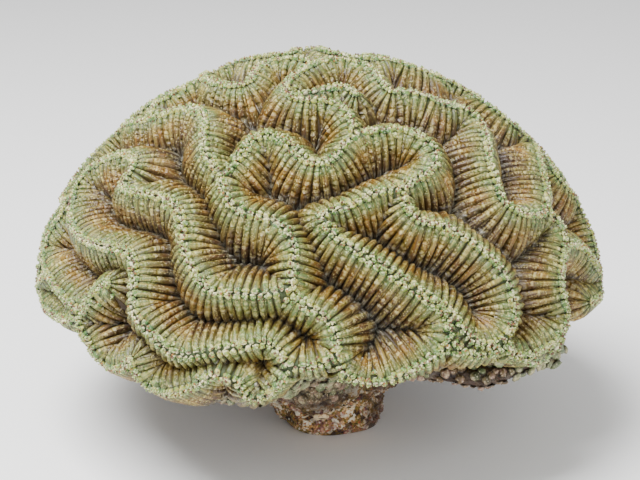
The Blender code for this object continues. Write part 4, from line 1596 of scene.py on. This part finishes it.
thread = times(tree, mask_of(tree, thread, 0.48, 0.56), mask_of(tree, down, 0.70, 0.95))
flank = mix_of(tree, times(tree, thread, 0.9), flank, srgb(172, 174, 160))
# Painted shade: the rib edges darken where they dip into the grooves between the ribs.
painted_groove_shade = mask_of(tree, edge, 0.34, 0.98, 0.0, 0.84)
flank = mix_of(tree, painted_groove_shade, flank, srgb(46, 34, 20))
bead_place = (times(tree, side, 0.42), crest, seed)
bead_far = grains_of(tree, *bead_place, 1.20)
bead = mask_of(tree, bead_far, 0.58, 0.20)
# Painted highlight on the top of each bead.
painted_bead_highlight = times(tree, mask_of(tree, bead_far, 0.42, 0.12), mask_of(tree, edge, 0.75, 0.2))
painted_bead_highlight = times(tree, painted_bead_highlight, mask_of(tree, down, 0.95, 0.45, 0.0, 0.38))
flank = mix_of(tree, painted_bead_highlight, flank, srgb(226, 214, 146))
# Painted shade in the gaps between the beads.
flank = mix_of(tree, mask_of(tree, bead, 0.40, 0.0, 0.0, 0.30), flank, srgb(70, 46, 12))
grain_place = (side, crest, seed)
grains = mask_of(tree, grains_of(tree, *grain_place, 0.56), 0.46, 0.10)
grains = times(tree, grains, mask_of(tree, noise_of(tree, 330, 2), 0.40, 0.60, 0.30, 1.0))
grains = times(tree, grains, mask_of(tree, edge, 0.95, 0.35))
pale = times(tree, grains, mask_of(tree, down, 1.0, 0.5, 0.25, 0.75))
flank = mix_of(tree, pale, flank, srgb(214, 198, 128))
tree.links.new(flank, shader.inputs["Base Color"])
fine = maths_of(tree, "MULTIPLY_ADD", noise_of(tree, 1100, 3, 0.6), 0.6, times(tree, grains, 0.7))
fine = maths_of(tree, "MULTIPLY_ADD", strand, 0.7, fine)
fine = maths_of(tree, "MULTIPLY_ADD", bead, 1.1, fine)
tree.links.new(bump_of(tree, fine, 0.8, 0.0005), shader.inputs["Normal"])
rib_piece.data.materials.append(rib_material)
small_ribs.data.materials.append(rib_material)
fine_ribs.data.materials.append(rib_material)
print("colours of the ribs, nodes", len(tree.nodes))

# %% [markdown]
# The knobs are mint and moss green on their outer side and cream towards the middle of the crest, and their
# low sides are darkened with painted shade in the gaps between them. A few red brown stains are spread over
# them, as on the real crests.

# %% Mint and cream knobs on the crests
knob_material, tree, shader = material_of("crest_knobs", 0.34)
tip = value_of(tree, "tip")
lump_value = value_of(tree, "lump")
tone = noise_of(tree, 240, 3, 0.6)
green = ramp_of(tree, tone, [(0.32, srgb(52, 94, 44)), (0.46, srgb(94, 126, 54)),
                             (0.58, srgb(146, 148, 56)), (0.70, srgb(190, 182, 100))])
raised = times(tree, mask_of(tree, lump_value, 0.1, 1.4), mask_of(tree, tip, 0.1, 0.7))
green = mix_of(tree, times(tree, raised, 0.6), green, srgb(236, 230, 172))
inner = mask_of(tree, value_of(tree, "outer"), -0.25, -0.75)
green = mix_of(tree, times(tree, inner, 0.8), green, srgb(250, 242, 202))
# Painted shade: the low sides of the knobs darken in the gaps between them.
green = mix_of(tree, mask_of(tree, tip, 0.60, 0.0, 0.0, 0.92), green, srgb(26, 42, 18))
specks = mask_of(tree, cells_of(tree, 1500), 0.40, 0.18)
green = mix_of(tree, times(tree, specks, 0.5), green, srgb(240, 238, 206))
stain = mask_of(tree, cells_of(tree, 560), 0.30, 0.16)
stain = times(tree, stain, mask_of(tree, noise_of(tree, 90, 1), 0.38, 0.50))
green = mix_of(tree, times(tree, stain, 0.85), green, srgb(104, 36, 22))
tree.links.new(green, shader.inputs["Base Color"])
knob_height = maths_of(tree, "MULTIPLY_ADD", noise_of(tree, 1400, 3, 0.6), 0.8, times(tree, specks, 0.6))
tree.links.new(bump_of(tree, knob_height, 0.9, 0.0005), shader.inputs["Normal"])
crest_knobs.data.materials.append(knob_material)
print("colours of the knobs, nodes", len(tree.nodes))

# %% [markdown]
# Below the crests the knobs go over from living green to dead brown. Each carries how far it has faded,
# and a number of its own lets neighbours differ.

# %% Mint to brown knobs below the crests
edge_material, tree, shader = material_of("edge_knobs", 0.5)
tip = value_of(tree, "tip")
fade = value_of(tree, "fade")
own = value_of(tree, "own")
tone = noise_of(tree, 260, 3, 0.6)
lively = ramp_of(tree, tone, [(0.36, srgb(66, 84, 50)), (0.50, srgb(108, 116, 76)),
                              (0.64, srgb(158, 152, 112))])
dying = ramp_of(tree, tone, [(0.36, srgb(58, 40, 22)), (0.46, srgb(106, 84, 50)), (0.56, srgb(124, 96, 84)),
                             (0.66, srgb(172, 148, 112))])
turned = maths_of(tree, "ADD", fade, maths_of(tree, "MULTIPLY_ADD", own, 0.5, -0.25))
edge_colour = mix_of(tree, mask_of(tree, turned, 0.05, 0.40), lively, dying)
specks = mask_of(tree, cells_of(tree, 1300), 0.40, 0.18)
edge_colour = mix_of(tree, times(tree, specks, 0.4), edge_colour, srgb(224, 214, 180))
# Painted shade: the low sides of the edge knobs darken where they meet the base.
edge_colour = mix_of(tree, mask_of(tree, tip, 0.55, 0.0, 0.0, 0.85), edge_colour, srgb(34, 26, 14))
tree.links.new(edge_colour, shader.inputs["Base Color"])
tree.links.new(bump_of(tree, noise_of(tree, 1100, 3, 0.6), 0.9, 0.0006), shader.inputs["Normal"])
edge_knobs.data.materials.append(edge_material)
print("colours of the edge knobs, nodes", len(tree.nodes))

# %% [markdown]
# The teeth are the palest part of the coral. Most are cream or light green, those on the outer side of a
# knob are greener, and a few are dark red or rusty at the tip, which gives the crest its sparkle.

# %% Cream teeth on the knobs
tooth_material, tree, shader = material_of("crest_teeth", 0.36)
tip = value_of(tree, "tip")
own = value_of(tree, "own")
cream = ramp_of(tree, own, [(0.00, srgb(252, 244, 206)), (0.45, srgb(244, 230, 172)),
                            (0.60, srgb(172, 184, 104)), (0.80, srgb(134, 158, 86)),
                            (1.00, srgb(216, 190, 96))])
outside = mask_of(tree, value_of(tree, "outer"), -0.45, -0.05)
cream = mix_of(tree, times(tree, outside, 0.60), cream, srgb(128, 158, 90))
cream = mix_of(tree, mask_of(tree, tip, 0.85, 0.35, 0.0, 0.75), cream, srgb(84, 110, 52))
dotted = times(tree, mask_of(tree, own, 0.22, 0.20), mask_of(tree, tip, 0.10, 0.35))
cream = mix_of(tree, times(tree, dotted, 0.92), cream, srgb(84, 22, 14))
rusty = times(tree, mask_of(tree, own, 0.93, 0.95), mask_of(tree, tip, 0.30, 0.6))
cream = mix_of(tree, times(tree, rusty, 0.8), cream, srgb(150, 76, 28))
tree.links.new(cream, shader.inputs["Base Color"])
tree.links.new(bump_of(tree, noise_of(tree, 1500, 3, 0.6), 0.5, 0.0003), shader.inputs["Normal"])
crest_teeth.data.materials.append(tooth_material)
print("colours of the teeth, nodes", len(tree.nodes))

# %% [markdown]
# Little of the skin shows: green to brown strips in the grooves, darkened with painted shade, the grey lilac
# threads of the valley floors, and dead grey brown patches near the rim.

# %% Skin between and below the ribs
skin_material, tree, shader = material_of("living_skin", 0.6)
gap = value_of(tree, "gap")
down = value_of(tree, "down")
floor_colour = ramp_of(tree, noise_of(tree, 720, 3, 0.7), [
    (0.40, srgb(64, 56, 52)), (0.50, srgb(108, 108, 96)), (0.58, srgb(168, 166, 158)),
    (0.66, srgb(128, 136, 112))])
# The dark green to brown of the strips is partly the skin's colour and partly painted shade in the grooves.
skin_colour_and_shade = ramp_of(tree, maths_of(tree, "DIVIDE", gap, 12.0), [
    (0.00, srgb(62, 80, 46)), (0.14, srgb(66, 76, 42)), (0.30, srgb(76, 64, 34)),
    (0.60, srgb(66, 48, 30)), (0.80, srgb(68, 56, 48)), (1.00, srgb(88, 80, 74))])
skin_colour_and_shade = mix_of(tree, mask_of(tree, down, 0.84, 0.97), skin_colour_and_shade, floor_colour)
dead = ramp_of(tree, noise_of(tree, 300, 4, 0.65), [
    (0.38, srgb(54, 42, 24)), (0.50, srgb(88, 80, 48)), (0.62, srgb(120, 112, 78))])
skin_colour_and_shade = mix_of(tree, value_of(tree, "low"), skin_colour_and_shade, dead)
tree.links.new(skin_colour_and_shade, shader.inputs["Base Color"])
tree.links.new(bump_of(tree, noise_of(tree, 800, 4, 0.65), 0.8, 0.0006), shader.inputs["Normal"])
coral_skin.data.materials.append(skin_material)
print("colours of the skin, nodes", len(tree.nodes))

# %% [markdown]
# The base is a crust of many small things grown over each other: sand, shell, pink algae and rust. Cells of
# two sizes, each with a colour of its own, are mixed with patches of noise, and the mix picks the colour
# from one ramp. A few near-white chips are painted glints, painted shade darkens the hollows, and the crust
# is mossy in front and brown on the far sides.

# %% Crust of the base
rock_material, tree, shader = material_of("encrusted_rock", 0.38)
patches = noise_of(tree, 150, 5, 0.7)
chips = cells_of(tree, 430, "Color")
fine_chips = cells_of(tree, 1350, "Color")
parts = tree.nodes.new("ShaderNodeSeparateColor")
tree.links.new(chips, parts.inputs[0])
fine_parts = tree.nodes.new("ShaderNodeSeparateColor")
tree.links.new(fine_chips, fine_parts.inputs[0])
mixed = maths_of(tree, "MULTIPLY_ADD", parts.outputs[0], 0.44, times(tree, fine_parts.outputs[0], 0.30))
mixed = maths_of(tree, "MULTIPLY_ADD", patches, 0.90, maths_of(tree, "ADD", mixed, -0.30))
rock_colour = ramp_of(tree, mixed, [
    (0.22, srgb(34, 18, 8)), (0.33, srgb(86, 54, 24)), (0.42, srgb(160, 126, 44)), (0.50, srgb(116, 116, 42)),
    (0.56, srgb(188, 128, 72)), (0.64, srgb(240, 202, 140)), (0.73, srgb(254, 244, 220))])
pink = mask_of(tree, noise_of(tree, 130, 4, 0.7), 0.48, 0.58)
pink = times(tree, pink, mask_of(tree, fine_parts.outputs[1], 0.30, 0.6))
rock_colour = mix_of(tree, times(tree, pink, 0.55), rock_colour, srgb(160, 92, 112))
rusty = mask_of(tree, fine_parts.outputs[1], 0.945, 0.965)
rock_colour = mix_of(tree, times(tree, rusty, 0.7), rock_colour, srgb(176, 80, 44))
# Painted highlight: a few near-white chips stand in for glints of light on the crust.
painted_glints = mask_of(tree, fine_parts.outputs[2], 0.955, 0.97)
rock_colour = mix_of(tree, times(tree, painted_glints, 0.85), rock_colour, srgb(250, 244, 232))
moss = mask_of(tree, value_of(tree, "near"), 0.2, 0.8)
moss = times(tree, moss, mask_of(tree, noise_of(tree, 260, 4, 0.7), 0.42, 0.56))
brown = times(tree, mask_of(tree, value_of(tree, "reach"), 30.0, 44.0), 0.85)
aside = mask_of(tree, value_of(tree, "aside"), 11.0, 20.0)
aside = times(tree, aside, mask_of(tree, patches, 0.66, 0.44, 0.15, 0.80))
rock_colour = mix_of(tree, aside, rock_colour, srgb(66, 42, 18))
rock_colour = mix_of(tree, brown, rock_colour, srgb(50, 32, 16))
rock_colour = mix_of(tree, times(tree, moss, 0.60), rock_colour, srgb(136, 132, 100))
# Painted shade: the hollows between the lumps are darkened.
painted_hollow_shade = mask_of(tree, value_of(tree, "lift"), 0.15, -0.75)
rock_colour = mix_of(tree, times(tree, painted_hollow_shade, 0.88), rock_colour, srgb(36, 20, 12))
tree.links.new(rock_colour, shader.inputs["Base Color"])
rough_height = maths_of(tree, "ADD", noise_of(tree, 700, 4, 0.7), times(tree, parts.outputs[2], 0.5))
tree.links.new(bump_of(tree, rough_height, 1.0, 0.0010), shader.inputs["Normal"])
rock.data.materials.append(rock_material)
print("colours of the crust, nodes", len(tree.nodes))

# %% [markdown]
# The ring is old cream lime with a darker, worn side, and its middle and inner side are darkened with painted
# shade for the hole.

# %% Cream of the ring
ring_material, tree, shader = material_of("tube_ring", 0.5)
rim = value_of(tree, "rim")
worn = mask_of(tree, noise_of(tree, 900, 3), 0.45, 0.6)
ring_colour = mix_of(tree, worn, srgb(236, 214, 170), srgb(196, 156, 112))
# Painted shade: the disc and the inside of the ring are darkened where the hole is.
ring_colour = mix_of(tree, mask_of(tree, rim, 0.85, 0.60), ring_colour, srgb(26, 14, 8))
tree.links.new(ring_colour, shader.inputs["Base Color"])
tube_ring.data.materials.append(ring_material)
print("colours of the ring, nodes", len(tree.nodes))

# %% [markdown]
# The coral stands on a plain pale floor, which is not part of it and so is marked as stage. It lies a hair
# below the cut, so that the two faces do not share one plane.

# %% Floor
FLOOR_SIZE = 6
FLOOR_DROP = 0.0002
FLOOR_WHITE = 0.95
bpy.ops.mesh.primitive_plane_add(size=FLOOR_SIZE, location=(0, 0, -FLOOR_DROP))
floor = bpy.context.object
floor.name = "floor"
floor_material, tree, shader = material_of("floor", 0.9)
shader.inputs["Base Color"].default_value = (FLOOR_WHITE, FLOOR_WHITE, FLOOR_WHITE, 1)
floor.data.materials.append(floor_material)
floor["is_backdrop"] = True
print("floor", FLOOR_SIZE, "m wide")

# %% [markdown]
# Soft studio light: one big lamp above the left side of the front, a weaker one from the right that opens
# the shadows, and an even white world all round.

# %% Lights
LIGHT_TARGET = (0, 0, 0.06)
KEY_PLACE = (-0.34, -0.24, 0.92)
FILL_PLACE = (0.6, -0.75, 0.5)
WORLD_STRENGTH = 0.60


def area(name, place, size, power):
    """A square lamp that looks at the coral."""
    light = bpy.data.lights.new(name, "AREA")
    light.size = size
    light.energy = power
    item = bpy.data.objects.new(name, light)
    item.location = place
    item.rotation_mode = "QUATERNION"
    item.rotation_quaternion = (Vector(LIGHT_TARGET) - Vector(place)).to_track_quat("-Z", "Y")
    bpy.context.collection.objects.link(item)
    print(name, "light of", power, "W")


area("key", KEY_PLACE, 0.6, 26)
area("fill", FILL_PLACE, 0.9, 6)
world = bpy.data.worlds.new("studio") if bpy.context.scene.world is None else bpy.context.scene.world
bpy.context.scene.world = world
world.use_nodes = True
background = world.node_tree.nodes["Background"]
background.inputs[0].default_value = (1, 1, 1, 1)
background.inputs[1].default_value = WORLD_STRENGTH

# %% [markdown]
# The camera stands where the front view was taken from, with the same lens and tilt.

# %% Camera
camera = bpy.data.cameras.new("camera")
camera.lens = VIEW_LENS
camera.sensor_width = SENSOR_WIDTH
eye = bpy.data.objects.new("camera", camera)
bpy.context.collection.objects.link(eye)
eye.location = (0, -math.cos(VIEW_TILT) * VIEW_DISTANCE, VIEW_TARGET_Z + math.sin(VIEW_TILT) * VIEW_DISTANCE)
eye.rotation_euler = (math.pi / 2 - VIEW_TILT, 0, 0)
bpy.context.scene.camera = eye
print("camera at", [round(v, 3) for v in eye.location])

# %% Measure and finish
low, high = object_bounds()
print("visual box", [round(v, 4) for v in (*low, *high)])
